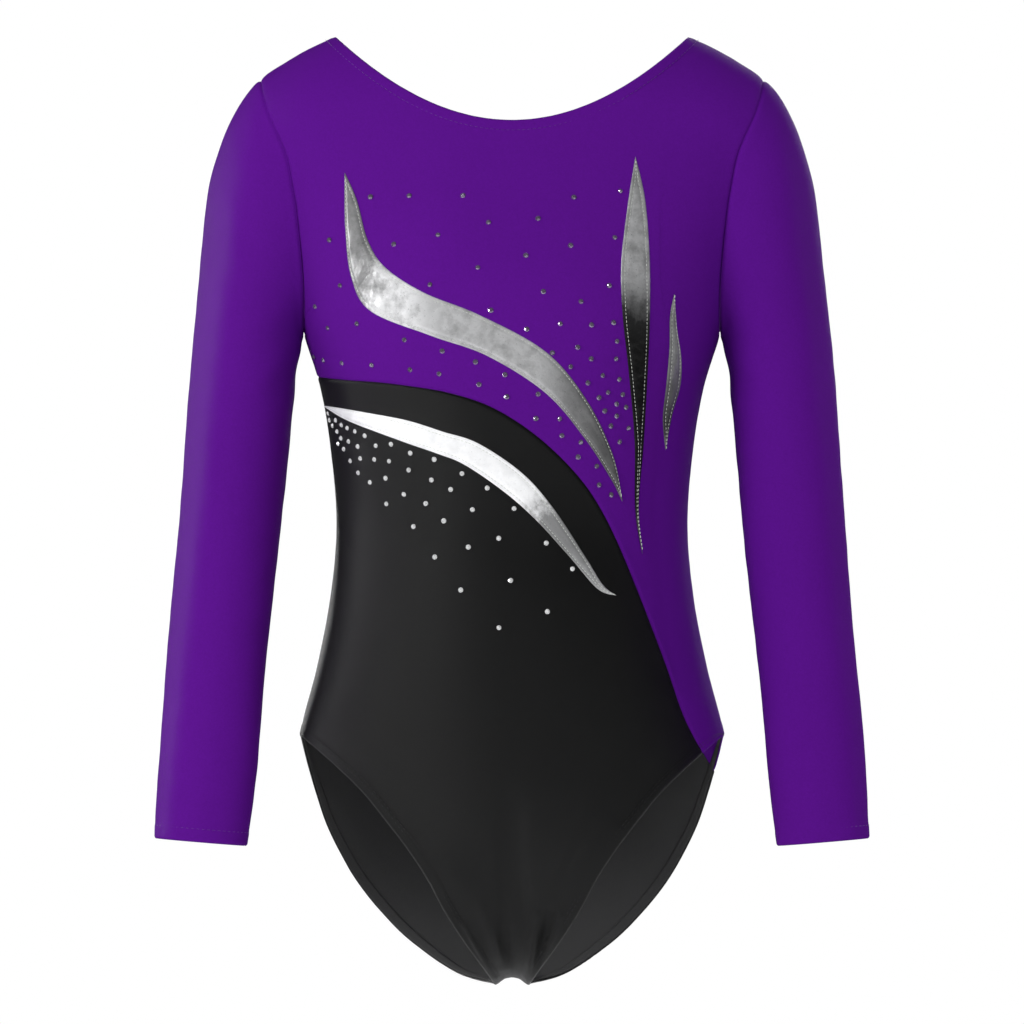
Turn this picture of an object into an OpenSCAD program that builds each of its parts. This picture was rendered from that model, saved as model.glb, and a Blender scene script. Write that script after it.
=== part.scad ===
// Long-sleeved gymnastics leotard on an empty form, millimetres.
// X to the wearer's left, Y to the back, Z up, origin between the two shoulder tops.

/* [Torso] */
// Height from the shoulder tops down to the crotch
full_length = 541; // [500:1:580]
// Half width of the chest at the armpits
chest_half_width = 118.5; // [115:0.5:122]
// Half width of the waist
waist_half_width = 100; // [95:0.5:105]
// Half width of the hips at the top of the leg openings
hip_half_width = 121; // [117:0.5:125]
// Depth of the chest, from the side seams forward
chest_depth = 85; // [80:0.5:90]
// Depth of the seat, from the side seams back
seat_depth = 98; // [90:0.5:104]

/* [Neckline] */
// Half width of the neckline at the shoulder seams
neck_half_width = 100; // [94:0.5:104]
// Drop of the front neckline at the centre
front_neck_drop = 48; // [42:0.5:54]
// Drop of the back neckline at the centre
back_neck_drop = 84; // [60:1:100]

/* [Sleeves] */
// Half depth of the sleeve, front to back, just below the armpit
upper_arm_half_depth = 32; // [28:0.5:36]
// Half depth of the sleeve, front to back, at the wrist
wrist_half_depth = 18; // [15:0.5:22]
// How far the wrist hangs in front of the shoulder
wrist_forward = 10; // [0:0.5:16]

/* [Cloth] */
// Thickness of the stretch cloth
cloth = 1.2; // [0.9:0.1:1.5]
// Space left between two panels along a seam
seam_gap = 1.5; // [1:0.1:2]
// Width of the turned hems
hem_width = 6; // [4:0.5:7]

/* [Trim] */
// Thickness of the foil pieces
foil = 0.6; // [0.4:0.1:1]
// Radius of a flat-backed stone
stone_radius = 1.5; // [1:0.1:1.6]
// Height of a flat-backed stone
stone_height = 1.2; // [0.8:0.1:1.6]

/* [Hidden] */
purple = "#5b1989";
black = "#232326";
silver = "#b9bcc0";
white = "#e9e9ea";
lift = 0.55;
tall = full_length / 541;

// Half width of the form against the distance below the shoulder tops
WIDTHS = [
    [0, 215], [25, 190], [46, 171], [69, 157], [100, 142], [130, 130],
    [170, chest_half_width], [200, mix(chest_half_width, waist_half_width, 0.5)],
    [235, mix(chest_half_width, waist_half_width, 0.82)], [278, waist_half_width],
    [320, mix(waist_half_width, hip_half_width, 0.17)],
    [360, mix(waist_half_width, hip_half_width, 0.54)], [398, hip_half_width],
    [440, hip_half_width + 5], [490, hip_half_width + 8], [550, hip_half_width + 10]];
// Depth of the form in front of and behind the side seams
FRONTS = [
    [0, 36], [20, 43], [48, 53], [80, chest_depth - 21], [110, chest_depth - 11],
    [145, chest_depth - 2], [170, chest_depth], [210, 82], [240, 78], [278, 75],
    [320, 77], [360, 77], [398, 75], [440, 72], [480, 70], [550, 70]];
BACKS = [
    [0, 38], [20, 47], [48, 58], [80, 70], [110, 79], [145, 83], [170, 82],
    [210, 76], [250, 71], [278, 71], [310, 76], [350, seat_depth - 12],
    [390, seat_depth - 3], [420, seat_depth], [460, seat_depth - 1], [550, seat_depth - 3]];
// Top line of the shoulders and bottom line of the crotch against the distance off centre
RIDGE = [[0, -22], [60, -12], [neck_half_width, 0], [110, 4], [120, 9], [130, 15],
    [140, 21.5], [143.5, 25], [150, 31], [170, 50]];
KEEL = [[0, 536], [5, 537.2], [10, 540.5], [20, 542], [60, 544], [130, 548]];

// Armhole: half width against the distance below the shoulder tops
ARMHOLE = [[25, 143.5], [35, 141.5], [46, 138], [58, 132.5], [69, 128.3], [85, 125],
    [101, 122.5], [138, 119], [170, chest_half_width]];
FRONT_LEG = [[hip_half_width, 398], [104, 412], [86, 429], [72, 446], [59, 463],
    [48, 480], [39, 497], [28, 514.5], [16, 531.5], [10, 540.4]];
BACK_LEG = [[hip_half_width, 398], [118, 412], [112.5, 432], [107, 449], [99, 466],
    [89, 483], [75, 500.5], [57.5, 517.5], [32, 534.5], [10, 540.4]];
// Slanting seam from under the wearer's right arm to the left leg opening
side_join = 194;
SLANT = [[-109, 194.5], [-101, 195.5], [-90, 196.5], [-76, 197.5], [-56, 200],
    [-36, 203.5], [-14, 210.5], [6, 222], [24, 236.5], [40, 253.5], [51, 270], [61, 290],
    [71, 314], [80, 337], [89, 361], [98, 387]];
SLANT_END_FRONT = 0.083;
SLANT_END_BACK = 0.15;

// Sleeve outlines, and the two ends of each ring along the sleeve
OUTER = [[25, 143.5], [30, 152.5], [39, 159], [47, 163], [56, 166], [64, 168],
    [82, 171.5], [100, 174.2], [133, 178], [167, 181.3], [218, 185.3], [321, 193.5],
    [423, 202], [457, 203.5]];
INNER = [[170, chest_half_width], [176, 120.6], [201, 124.3], [235, 127.4],
    [270, 130.8], [321, 136], [372, 141.4], [423, 146.2], [461, 151]];
OUTER_STEPS = [[0, 25], [0.08, 29.5], [0.16, 40], [0.24, 58], [0.32, 83], [0.4, 118],
    [0.5, 168.4], [0.6, 218], [0.7, 272], [0.8, 333], [0.9, 395], [1, 456.6]];
INNER_STEPS = [[0, 170], [0.08, 171.2], [0.16, 173], [0.24, 177], [0.32, 184.5],
    [0.4, 198], [0.5, 223.6], [0.6, 252], [0.7, 290], [0.8, 341], [0.9, 400.5], [1, 461]];
ARM_DEPTHS = [[0, 40], [0.2, 39], [0.35, 36], [0.5, upper_arm_half_depth],
    [0.7, mix(upper_arm_half_depth, wrist_half_depth, 0.4)], [1, wrist_half_depth]];
arm_top = 25;
arm_bottom = 170;
sleeve_split = 0.5;
arm_steps = 14;
side_steps = 8;

// Foil pieces: the two edges of each, from tip to tip
CHEST_LOW = [[-95, 78], [-94.5, 110], [-91, 138], [-80, 157], [-46, 171], [-14, 182.5],
    [19, 203.5], [41, 229], [56, 252], [62.5, 265]];
CHEST_HIGH = [[-95, 78], [-88, 94], [-82, 116], [-72, 132], [-50, 146.5], [-18, 159.5],
    [19, 180], [42, 207], [57, 238], [62.5, 265]];
WAIST_LOW = [[-107.5, 210], [-93, 219], [-63, 230.5], [-43, 237.5], [-27, 244],
    [-5, 259], [13, 274.5], [31.5, 295.5], [46, 313.5], [59.5, 318.3]];
WAIST_HIGH = [[-107.5, 210], [-83, 214.3], [-59, 219], [-39, 225.3], [-19, 232],
    [6, 249], [24, 269.5], [42, 297], [52.5, 311.5], [59.5, 318.3]];
LONG_LEFT = [[70, 69], [66, 94], [62, 128], [62.5, 157], [66.3, 193], [69.5, 232],
    [70, 270], [74, 295]];
LONG_RIGHT = [[70, 69], [75.5, 94], [78, 128], [78, 165], [76.5, 199], [74.5, 234],
    [71.8, 268], [74, 295]];
SMALL_LEFT = [[92, 147], [89.6, 160], [89.3, 178], [87.5, 198], [85.3, 218], [87, 236]];
SMALL_RIGHT = [[92, 147], [93.5, 167], [96, 184], [95.5, 199], [91, 215], [87, 236]];

// Stone rows: the line each row follows and how many stones are on it
UPPER_ROWS = [
    [[[-80.3, 92], [-67, 119], [-46.5, 142], [-12, 156.6], [8.4, 167.3], [22.8, 180.7],
        [33.2, 188.5], [43, 197.6], [49.3, 206], [52.5, 213.5], [56, 222], [61, 231]], 12],
    [[[-58.3, 91.4], [-42, 113.7], [-19.4, 132.3], [17.7, 146], [27.3, 164.2], [37.2, 177.5],
        [44.8, 184], [51.4, 193.4], [54.4, 203], [59.3, 209.6], [59.3, 216.4]], 11],
    [[[-27.8, 91.4], [-13.4, 106.6], [7.8, 125.4], [39, 151.6], [45, 164.8]], 5],
    [[[14.7, 104.4], [33.2, 119.8], [55, 142.5], [57.5, 163.5], [59.5, 174], [59, 184],
        [60.8, 195.6], [62.7, 204.2], [64.6, 211.4], [66, 223.2]], 10],
    [[[35, 92.3], [58.2, 115.2]], 2],
    [[[58, 84], [61.4, 88.8]], 1]];
LOWER_ROWS = [
    [[[-103.7, 116.4], [-97.6, 142.3], [-88, 164], [-61, 173.3], [-39.5, 179.6],
        [-20.7, 185.8], [-4, 193], [14.7, 204], [27, 218], [39, 231.3], [48, 244.8],
        [56.2, 261]], 12],
    [[[-111.8, 154], [-104.5, 166.3], [-96.5, 186.2], [-79.6, 187.5], [-57.8, 190.2],
        [-41.3, 192.6], [-18.7, 198.6], [-3, 205.5], [13.5, 217.8], [28.2, 227.5],
        [37.4, 239.6], [49.3, 255.4]], 12],
    [[[-112.5, 182.4], [-107, 184.5]], 2]];
BLACK_ROWS = [
    [[[-104.4, 214.6], [-100, 218.6], [-96.7, 221.3], [-93.4, 223.1], [-89, 225],
        [-83.4, 227.5], [-68.5, 232.3], [-57.6, 237.4], [-44, 241], [-28.3, 249],
        [-14, 257.2], [1.2, 268.8], [19.4, 288.4], [34.2, 303]], 14],
    [[[-103.6, 218.4], [-101.8, 221.6], [-99.2, 225], [-97, 228.8], [-92.6, 230.7],
        [-87.4, 233.6], [-77.2, 233.2]], 7],
    [[[-98.6, 232], [-95.4, 235], [-91.7, 241.7], [-87.2, 248.5], [-80.5, 254], [-71.2, 266.2],
        [-55.8, 279], [-43.7, 296.3], [-29, 315], [-7.4, 336.3]], 10],
    [[[-86, 240.4], [-78, 241], [-69.6, 242], [-58.5, 247], [-45.6, 252.6], [-34.7, 258],
        [-22.4, 269.4], [-7.5, 285.7]], 8],
    [[[-71.6, 251.6], [-61.2, 260.8], [-48.8, 266], [-38.6, 275.8], [-24.7, 290.7],
        [-0.8, 309.6], [20, 327.2]], 7]];

// ---- small helpers ----

function mix(a, b, t) = a + (b - a) * t;
function clamp(v, low, high) = min(max(v, low), high);
function ease(t) = let (u = clamp(t, 0, 1)) u * u * (3 - 2 * u);
function unit(v) = v / norm(v);

function slot(t, x, i = 0) = i >= len(t) - 2 || x < t[i + 1][0] ? i : slot(t, x, i + 1);
function slope(t, i) =
    let (a = max(i - 1, 0), b = min(i + 1, len(t) - 1))
    (t[b][1] - t[a][1]) / (t[b][0] - t[a][0]);

// Smooth value of a table of [position, value] pairs
function curve(t, x) =
    let (
        i = slot(t, x),
        w = t[i + 1][0] - t[i][0],
        u = clamp((x - t[i][0]) / w, 0, 1),
        rise = t[i + 1][1] - t[i][1],
        a = slope(t, i) * w,
        b = slope(t, i + 1) * w)
    t[i][1] + u * (a + u * (3 * rise - 2 * a - b + u * (a + b - 2 * rise)));

// Smooth line through the points p, with t from 0 at the first to 1 at the last
function spline(p, t) =
    let (
        n = len(p) - 1,
        s = clamp(t, 0, 1) * n,
        i = min(floor(s), n - 1),
        u = s - i,
        a = p[max(i - 1, 0)],
        b = p[i],
        c = p[i + 1],
        d = p[min(i + 2, n)])
    b + 0.5 * u * (c - a + u * (2 * a - 5 * b + 4 * c - d + u * (3 * (b - c) + d - a)));

// ---- the form: side is -1 in front and 1 behind, down is the distance below the shoulders ----

function half_width(down) = curve(WIDTHS, down);
function depth(side, down) = curve(side < 0 ? FRONTS : BACKS, down);
function rounding(t) = t < 1 ? 2 * t - t * t : 1;

function depth_squared(side, x, down) =
    pow(depth(side, down), 2)
    * (1 - pow(abs(x) / half_width(down), 2.3))
    * rounding((down - curve(RIDGE, abs(x))) / 45)
    * rounding((curve(KEEL, abs(x)) - down) / (side < 0 ? 120 : 110));

function normal(side, x, down) =
    let (
        e = 0.2,
        across = depth_squared(side, x + e, down) - depth_squared(side, x - e, down),
        along = depth_squared(side, x, down + e) - depth_squared(side, x, down - e),
        y = sqrt(max(0, depth_squared(side, x, down))))
    unit([-across / (2 * e), 2 * side * y, along / (2 * e * tall)]);

function skin(side, x, down, out = 0) =
    let (
        y = side * sqrt(max(0, depth_squared(side, x, down))),
        p = [x, y, -down * tall] + normal(side, x, down) * out)
    [p[0], side * max(side * p[1], seam_gap / 2), p[2]];

function to_angle(p) = [asin(clamp(p[0] / half_width(p[1]), -1, 1)), p[1]];
function from_angle(a) = [half_width(a[1]) * sin(a[0]), a[1]];

// ---- edges of the panels, as [distance off centre, distance down] ----

function armhole_down(turn) =
    mix(arm_top, arm_bottom, 0.5) - (arm_bottom - arm_top) / 2 * cos(turn);
function armhole_edge(turn) =
    let (down = armhole_down(turn)) [curve(ARMHOLE, down), down];
function neck_edge(turn, drop) = [neck_half_width * cos(turn), drop * pow(sin(turn), 2)];
function shoulder_edge(t) =
    let (x = mix(143.5, neck_half_width, t)) [x, curve(RIDGE, x)];
function side_edge(down) = [half_width(down), down];
function flip(p) = [-p[0], p[1]];

// Upper edge of a panel from the wearer's right shoulder tip to the left one, t from 0 to 1
function top_edge(t, drop) =
    t < 0.13 ? flip(shoulder_edge(t / 0.13))
    : t > 0.87 ? shoulder_edge((1 - t) / 0.13)
    : flip(neck_edge((t - 0.13) / 0.74 * 180, drop));

// Armhole and then side seam down to a given level, step by step
function flank(step, low) =
    step <= arm_steps ? armhole_edge(180 * step / arm_steps)
    : side_edge(mix(arm_bottom, low, (step - arm_steps) / side_steps));

function leg_edge(side, t) = spline(side < 0 ? FRONT_LEG : BACK_LEG, t);
function slant_end(side) = side < 0 ? SLANT_END_FRONT : SLANT_END_BACK;
function slant_line(side) =
    concat([[-half_width(side_join), side_join]], SLANT, [leg_edge(side, slant_end(side))]);
function slant(side, t) = spline(slant_line(side), t);

// ---- solids ----

// Closed solid between two grids of points, outer and inner, of the same size
module shell(outer, inner, wrap = false) {
    rows = len(outer);
    cols = len(outer[0]);
    half = rows * cols;
    last = wrap ? cols - 1 : cols - 2;
    end = (rows - 1) * cols;
    points = concat([for (r = outer) each r], [for (r = inner) each r]);
    skins = [for (j = [0:rows - 2], i = [0:last])
        let (
            k = (i + 1) % cols,
            a = j * cols + i,
            b = j * cols + k,
            c = b + cols,
            d = a + cols)
        each [[a, b, c], [a, c, d], [a + half, c + half, b + half],
            [a + half, d + half, c + half]]];
    ends = [for (i = [0:last])
        let (
            k = (i + 1) % cols,
            c = end + k,
            d = end + i)
        each [[k, i, i + half], [k, i + half, k + half],
            [d, c, c + half], [d, c + half, d + half]]];
    sides = wrap ? [] : [for (j = [0:rows - 2])
        let (
            a = j * cols,
            d = a + cols,
            b = a + cols - 1,
            c = b + cols)
        each [[a, d, d + half], [a, d + half, a + half],
            [c, b, b + half], [c, b + half, c + half]]];
    polyhedron(points, concat(skins, ends, sides), convexity = 10);
}

// How far down an edge its point j lies, from 0 to 1
function progress(e, j) = (e[j][1] - e[0][1]) / (e[len(e) - 1][1] - e[0][1]);
// Grid of [x, down] points filled in between four edges
function fill_in(top, bottom, left, right) =
    let (
        cols = len(top) - 1,
        rows = len(left) - 1,
        t = [for (p = top) to_angle(p)],
        b = [for (p = bottom) to_angle(p)],
        l = [for (p = left) to_angle(p)],
        r = [for (p = right) to_angle(p)])
    [for (j = [0:rows]) [for (i = [0:cols])
        let (
            u = i / cols,
            v = (progress(left, j) + progress(right, j)) / 2,
            lean_left = l[j] - mix(l[0], l[rows], v),
            lean_right = r[j] - mix(r[0], r[rows], v),
            edge = j == 0 ? t[i] : j == rows ? b[i] : i == 0 ? l[j] : i == cols ? r[j]
                : mix(t[i], b[i], v) + mix(lean_left, lean_right, u))
        from_angle(edge)]];

module panel(side, grid) {
    outer = [for (r = grid) [for (p = r) skin(side, p[0], p[1])]];
    inner = [for (r = grid) [for (p = r) skin(side, p[0], p[1], -cloth)]];
    turned = side < 0;
    shell(turned ? outer : inner, turned ? inner : outer);
}

// Flat band along a path of [point, outward normal] pairs: from, to are across it,
// low and high are distances below the path along the normal
module band(path, from, to, low, high, wrap = false) {
    n = len(path);
    frames = [for (i = [0:n - 1])
        let (
            before = path[wrap ? (i + n - 1) % n : max(i - 1, 0)][0],
            after = path[wrap ? (i + 1) % n : min(i + 1, n - 1)][0],
            out = path[i][1],
            way = unit(cross(unit(after - before), out)))
        [path[i][0], out, way]];
    upper = [for (w = [from, to]) [for (f = frames) f[0] + f[2] * w - f[1] * low]];
    lower = [for (w = [from, to]) [for (f = frames) f[0] + f[2] * w - f[1] * high]];
    shell(lower, upper, wrap);
}

function on_skin(side, p) = [skin(side, p[0], p[1]), normal(side, p[0], p[1])];

// ---- the sleeve on the wearer's left ----

function arm_depth(s) = curve(ARM_DEPTHS, s);

function arm_point(s, turn) =
    let (
        outer_down = curve(OUTER_STEPS, s),
        inner_down = curve(INNER_STEPS, s),
        a = [curve(OUTER, outer_down), outer_down],
        b = [curve(INNER, inner_down), inner_down],
        m = (a + b) / 2 + (a - b) / 2 * cos(turn),
        ring = [m[0], -arm_depth(s) * sin(turn) - wrist_forward * s * s, -m[1] * tall],
        side = turn % 360 <= 180 ? -1 : 1,
        e = armhole_edge(turn),
        y = side * sqrt(max(0, depth_squared(side, e[0], e[1]))),
        loop = [e[0], y, -e[1] * tall])
    mix(loop, ring, ease(s / 0.35));

function arm_skin(s, turn, out) =
    let (
        e = 0.004,
        along = arm_point(min(s + e, 1), turn) - arm_point(max(s - e, 0), turn),
        around = arm_point(s, turn + 1) - arm_point(s, turn - 1 + (turn < 1 ? 360 : 0)))
    arm_point(s, turn) + unit(cross(around, along)) * out;

module arm_tube(from, to, rings, gap_from, gap_to) {
    steps = 2 * arm_steps;
    miter = unit([1, 0, -1]);
    function ring(j, out) =
        let (
            s = mix(from, to, j / rings),
            push = j == 0 ? gap_from : j == rings ? gap_to : 0)
        [for (i = [0:steps - 1]) arm_skin(s, 360 - 360 * (i + 1) / steps, out) + miter * push];
    shell([for (j = [0:rings]) ring(j, -cloth)], [for (j = [0:rings]) ring(j, 0)], true);
}

module sleeve_cap() {
    arm_tube(0.035, sleeve_split, 6, 1.6, -0.5);
}

module sleeve_tube() {
    arm_tube(sleeve_split, 1, 9, 0.5, 0);
}

// Turned hem inside the wrist opening
module cuff_hem() {
    steps = 28;
    function ring(s, out) =
        [for (i = [0:steps - 1]) arm_skin(s, 360 - 360 * (i + 1) / steps, out)];
    low = 1 - hem_width / 560;
    shell([ring(low, -cloth - lift - 0.6), ring(1, -cloth - lift - 0.6)],
        [ring(low, -cloth - lift), ring(1, -cloth - lift)], true);
}

// Overlocked seam along the inside of the arm
module underarm_seam() {
    steps = 10;
    function row(turn, out) =
        [for (i = [0:steps]) arm_skin(mix(sleeve_split + 0.02, 0.96, i / steps), turn, out)];
    shell([row(186, -cloth - lift - 0.8), row(174, -cloth - lift - 0.8)],
        [row(186, -cloth - lift), row(174, -cloth - lift)]);
}

// Overlocked seam all round the inside of the armhole
module armhole_seam() {
    steps = 40;
    middle = [(143.5 + chest_half_width) / 2, 0, -(arm_top + arm_bottom) / 2 * tall];
    path = [for (i = [0:steps - 1])
        let (p = arm_point(0, 360 * (i + 0.5) / steps))
        [p, unit([0.1 * (p[0] - middle[0]), p[1], p[2] - middle[2]])]];
    band(path, -1.2, 1.2, cloth + 1.6, cloth + 2.8, true);
}

// ---- torso pieces ----

module front_upper_panel() {
    cols = 30;
    rows = arm_steps + side_steps;
    end = slant_end(-1);
    foot = [for (i = [0:cols]) let (t = i / cols)
        t <= 0.9 ? slant(-1, t / 0.9) - [0, seam_gap / 2]
        : leg_edge(-1, mix(end, 0, (t - 0.9) / 0.1)) - [0, 0.75 * (1 - t) * 10]];
    grid = fill_in(
        [for (i = [0:cols]) top_edge(i / cols, front_neck_drop)],
        foot,
        [for (j = [0:rows]) flip(flank(j, side_join - seam_gap / 2))],
        [for (j = [0:rows]) flank(j, 398)]);
    color(purple) panel(-1, grid);
}

module front_lower_panel() {
    cols = 26;
    rows = 17;
    end = slant_end(-1);
    grid = fill_in(
        [for (i = [0:cols]) slant(-1, i / cols) + [0, seam_gap / 2]],
        [for (i = [0:cols]) let (t = i / cols)
            t <= 0.84 ? flip(leg_edge(-1, t / 0.84))
            : let (x = mix(-10, 10, (t - 0.84) / 0.16)) [x, curve(KEEL, abs(x)) - 0.02]],
        [for (j = [0:rows]) flip(side_edge(mix(side_join + seam_gap / 2, 398, j / rows)))],
        [for (j = [0:rows]) leg_edge(-1, mix(end, 1, j / rows))
            + [0, seam_gap / 2 * (1 - j / rows)]]);
    color(black) panel(-1, grid);
}

module back_upper_panel() {
    cols = 28;
    rows = arm_steps + side_steps;
    end = slant_end(1);
    foot = [for (i = [0:cols]) let (t = i / cols)
        t <= 0.9 ? slant(1, t / 0.9) - [0, seam_gap / 2]
        : leg_edge(1, mix(end, 0, (t - 0.9) / 0.1)) - [0, 0.75 * (1 - t) * 10]];
    grid = fill_in(
        [for (i = [0:cols]) top_edge(i / cols, back_neck_drop)],
        foot,
        [for (j = [0:rows]) flip(flank(j, side_join - seam_gap / 2))],
        [for (j = [0:rows]) flank(j, 398)]);
    color(purple) panel(1, grid);
}

module back_lower_panel() {
    cols = 26;
    rows = 17;
    end = slant_end(1);
    grid = fill_in(
        [for (i = [0:cols]) slant(1, i / cols) + [0, seam_gap / 2]],
        [for (i = [0:cols]) let (t = i / cols)
            t <= 0.84 ? flip(leg_edge(1, t / 0.84))
            : let (x = mix(-10, 10, (t - 0.84) / 0.16)) [x, curve(KEEL, abs(x)) - 0.02]],
        [for (j = [0:rows]) flip(side_edge(mix(side_join + seam_gap / 2, 398, j / rows)))],
        [for (j = [0:rows]) leg_edge(1, mix(end, 1, j / rows))
            + [0, seam_gap / 2 * (1 - j / rows)]]);
    color(black) panel(1, grid);
}

function neck_loop(steps) = concat(
    [for (i = [0:steps - 1]) on_skin(-1, flip(neck_edge(180 * (i + 0.5) / steps,
        front_neck_drop)))],
    [for (i = [0:steps - 1]) on_skin(1, neck_edge(180 * (i + 0.5) / steps,
        back_neck_drop))]);

// Point on a leg edge, moved across the cloth and then in from its outside
function leg_spot(side, t, across, deep) =
    let (
        p = leg_edge(side, t),
        way = unit(leg_edge(side, min(t + 0.01, 1)) - leg_edge(side, max(t - 0.01, 0))),
        inward = [-way[1], way[0]],
        near = p + inward * 0.5,
        reach = 2 * norm(skin(side, near[0], near[1]) - skin(side, p[0], p[1])),
        q = p + inward * across / reach)
    skin(side, q[0], q[1], -deep);

// Band round a leg opening that follows the cloth
module leg_band(from, to, low, high) {
    steps = 28;
    function row(w, deep) = concat(
        [for (i = [0:steps - 1]) leg_spot(-1, (i + 0.5) / steps, w, deep)],
        [for (i = [0:steps - 1]) leg_spot(1, 1 - (i + 0.5) / steps, w, deep)]);
    widths = [from, mix(from, to, 0.5), to];
    shell([for (w = widths) row(w, high)], [for (w = widths) row(w, low)], true);
}

module neck_hem() {
    color(purple) band(neck_loop(36), 0.5, hem_width, cloth + 1.9, cloth + 2.5, true);
}

module neck_elastic() {
    color(white) band(neck_loop(36), 1, hem_width - 0.5, cloth + 1.2, cloth + 1.7, true);
}

module leg_hem() {
    leg_band(0.5, hem_width, cloth + 2.4, cloth + 3);
}

module leg_elastic() {
    leg_band(1, hem_width - 0.5, cloth + 1.7, cloth + 2.2);
}

module slant_seam(side) {
    steps = 24;
    path = [for (i = [0:steps]) on_skin(side, slant(side, mix(0.02, 0.96, i / steps)))];
    band(path, -2, 2, cloth + 0.6, cloth + 1.4);
}

module side_seam(from, to) {
    steps = 14;
    path = [for (i = [0:steps])
        let (down = mix(from, to, i / steps))
        [[half_width(down), 0, -down * tall], [1, 0, 0]]];
    band(path, -2, 2, cloth + 0.7, cloth + 1.5);
}

module shoulder_seam() {
    steps = 6;
    path = [for (i = [0:steps])
        let (x = mix(neck_half_width + 8, 138, i / steps))
        [[x, 0, -curve(RIDGE, x) * tall], unit([0.4, 0, 1])]];
    band(path, -2, 2, cloth + 1, cloth + 1.8);
}

module crotch_seam() {
    steps = 6;
    path = [for (i = [0:steps])
        let (x = mix(-5, 5, i / steps))
        [[x, 0, -curve(KEEL, abs(x)) * tall], [0, 0, -1]]];
    color(black) band(path, -1.5, 1.5, cloth + 0.5, cloth + 1.2);
}

// Lining inside the crotch, from the front over the seam to the back
module crotch_lining() {
    rows = 12;
    cols = 6;
    function along(j) = mix(-1, 1, j / rows);
    function spot(i, j, out) =
        let (
            v = along(j),
            side = v < 0 ? -1 : 1,
            x = mix(-1, 1, i / cols) * mix(6, 16, v * v),
            down = curve(KEEL, abs(x)) - 2.4 - 56 * v * v)
        skin(side, x, down, out) - [0, abs(v) < 0.01 ? seam_gap / 2 : 0, 0];
    color(white) shell(
        [for (j = [0:rows]) [for (i = [0:cols]) spot(i, j, -cloth - 1.8)]],
        [for (j = [0:rows]) [for (i = [0:cols]) spot(i, j, -cloth - 2.6)]]);
}

// Blank woven label inside the back neckline
module care_label() {
    color(white) translate([-12, depth(1, 92) - cloth - 6.5, -108 * tall]) cube([24, 0.5, 14]);
}

// ---- trim on the front ----

module foil_piece(first, second, steps, from = 0.025) {
    rows = 2;
    function spot(i, j, out) =
        let (
            t = mix(from, 0.98, i / steps),
            p = mix(spline(first, t), spline(second, t), j / rows))
        skin(-1, p[0], p[1], out);
    shell([for (j = [0:rows]) [for (i = [0:steps]) spot(i, j, lift + foil)]],
        [for (j = [0:rows]) [for (i = [0:steps]) spot(i, j, lift)]]);
}

module chest_swoosh() {
    color(silver) foil_piece(CHEST_HIGH, CHEST_LOW, 26);
}

module waist_swoosh() {
    color(silver) foil_piece(WAIST_HIGH, WAIST_LOW, 24, 0.06);
}

module long_leaf() {
    color(silver) foil_piece([for (p = LONG_LEFT) p], [for (p = LONG_RIGHT) p], 14);
}

module small_leaf() {
    color(silver) foil_piece(SMALL_LEFT, SMALL_RIGHT, 8);
}

module stone(p) {
    out = normal(-1, p[0], p[1]);
    translate(skin(-1, p[0], p[1], lift))
        rotate([0, acos(out[2]), atan2(out[1], out[0])])
            cylinder(h = stone_height, r1 = stone_radius, r2 = stone_radius * 0.55, $fn = 24);
}

module stone_rows(rows) {
    color(white)
        for (row = rows)
            for (i = [0:row[1] - 1])
                stone(spline(row[0], row[1] > 1 ? i / (row[1] - 1) : 1));
}

// ---- left and right copies ----

module left_sleeve_cap() {
    color(purple) sleeve_cap();
}

module right_sleeve_cap() {
    color(purple) mirror([1, 0, 0]) sleeve_cap();
}

module left_sleeve() {
    color(purple) sleeve_tube();
}

module right_sleeve() {
    color(purple) mirror([1, 0, 0]) sleeve_tube();
}

module left_cuff_hem() {
    color(purple) cuff_hem();
}

module right_cuff_hem() {
    color(purple) mirror([1, 0, 0]) cuff_hem();
}

module left_sleeve_seam() {
    color(purple) underarm_seam();
}

module right_sleeve_seam() {
    color(purple) mirror([1, 0, 0]) underarm_seam();
}

module left_armhole_seam() {
    color(purple) armhole_seam();
}

module right_armhole_seam() {
    color(purple) mirror([1, 0, 0]) armhole_seam();
}

module left_leg_hem() {
    color(black) leg_hem();
}

module right_leg_hem() {
    color(black) mirror([1, 0, 0]) leg_hem();
}

module left_leg_elastic() {
    color(white) leg_elastic();
}

module right_leg_elastic() {
    color(white) mirror([1, 0, 0]) leg_elastic();
}

module left_side_seam() {
    color(purple) side_seam(176, 388);
}

module right_side_seam() {
    color(black) mirror([1, 0, 0]) side_seam(176, 388);
}

module left_shoulder_seam() {
    color(purple) shoulder_seam();
}

module right_shoulder_seam() {
    color(purple) mirror([1, 0, 0]) shoulder_seam();
}

module front_slant_seam() {
    color(black) slant_seam(-1);
}

module back_slant_seam() {
    color(black) slant_seam(1);
}

module upper_purple_stones() {
    stone_rows(UPPER_ROWS);
}

module lower_purple_stones() {
    stone_rows(LOWER_ROWS);
}

module black_stones() {
    stone_rows(BLACK_ROWS);
}

front_upper_panel();
front_lower_panel();
back_upper_panel();
back_lower_panel();
right_sleeve_cap();
left_sleeve_cap();
right_sleeve();
left_sleeve();
neck_hem();
neck_elastic();
right_leg_hem();
left_leg_hem();
right_leg_elastic();
left_leg_elastic();
right_cuff_hem();
left_cuff_hem();
front_slant_seam();
back_slant_seam();
right_side_seam();
left_side_seam();
right_shoulder_seam();
left_shoulder_seam();
right_armhole_seam();
left_armhole_seam();
right_sleeve_seam();
left_sleeve_seam();
crotch_seam();
crotch_lining();
care_label();
chest_swoosh();
waist_swoosh();
long_leaf();
small_leaf();
upper_purple_stones();
lower_purple_stones();
black_stones();
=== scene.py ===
import math

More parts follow.
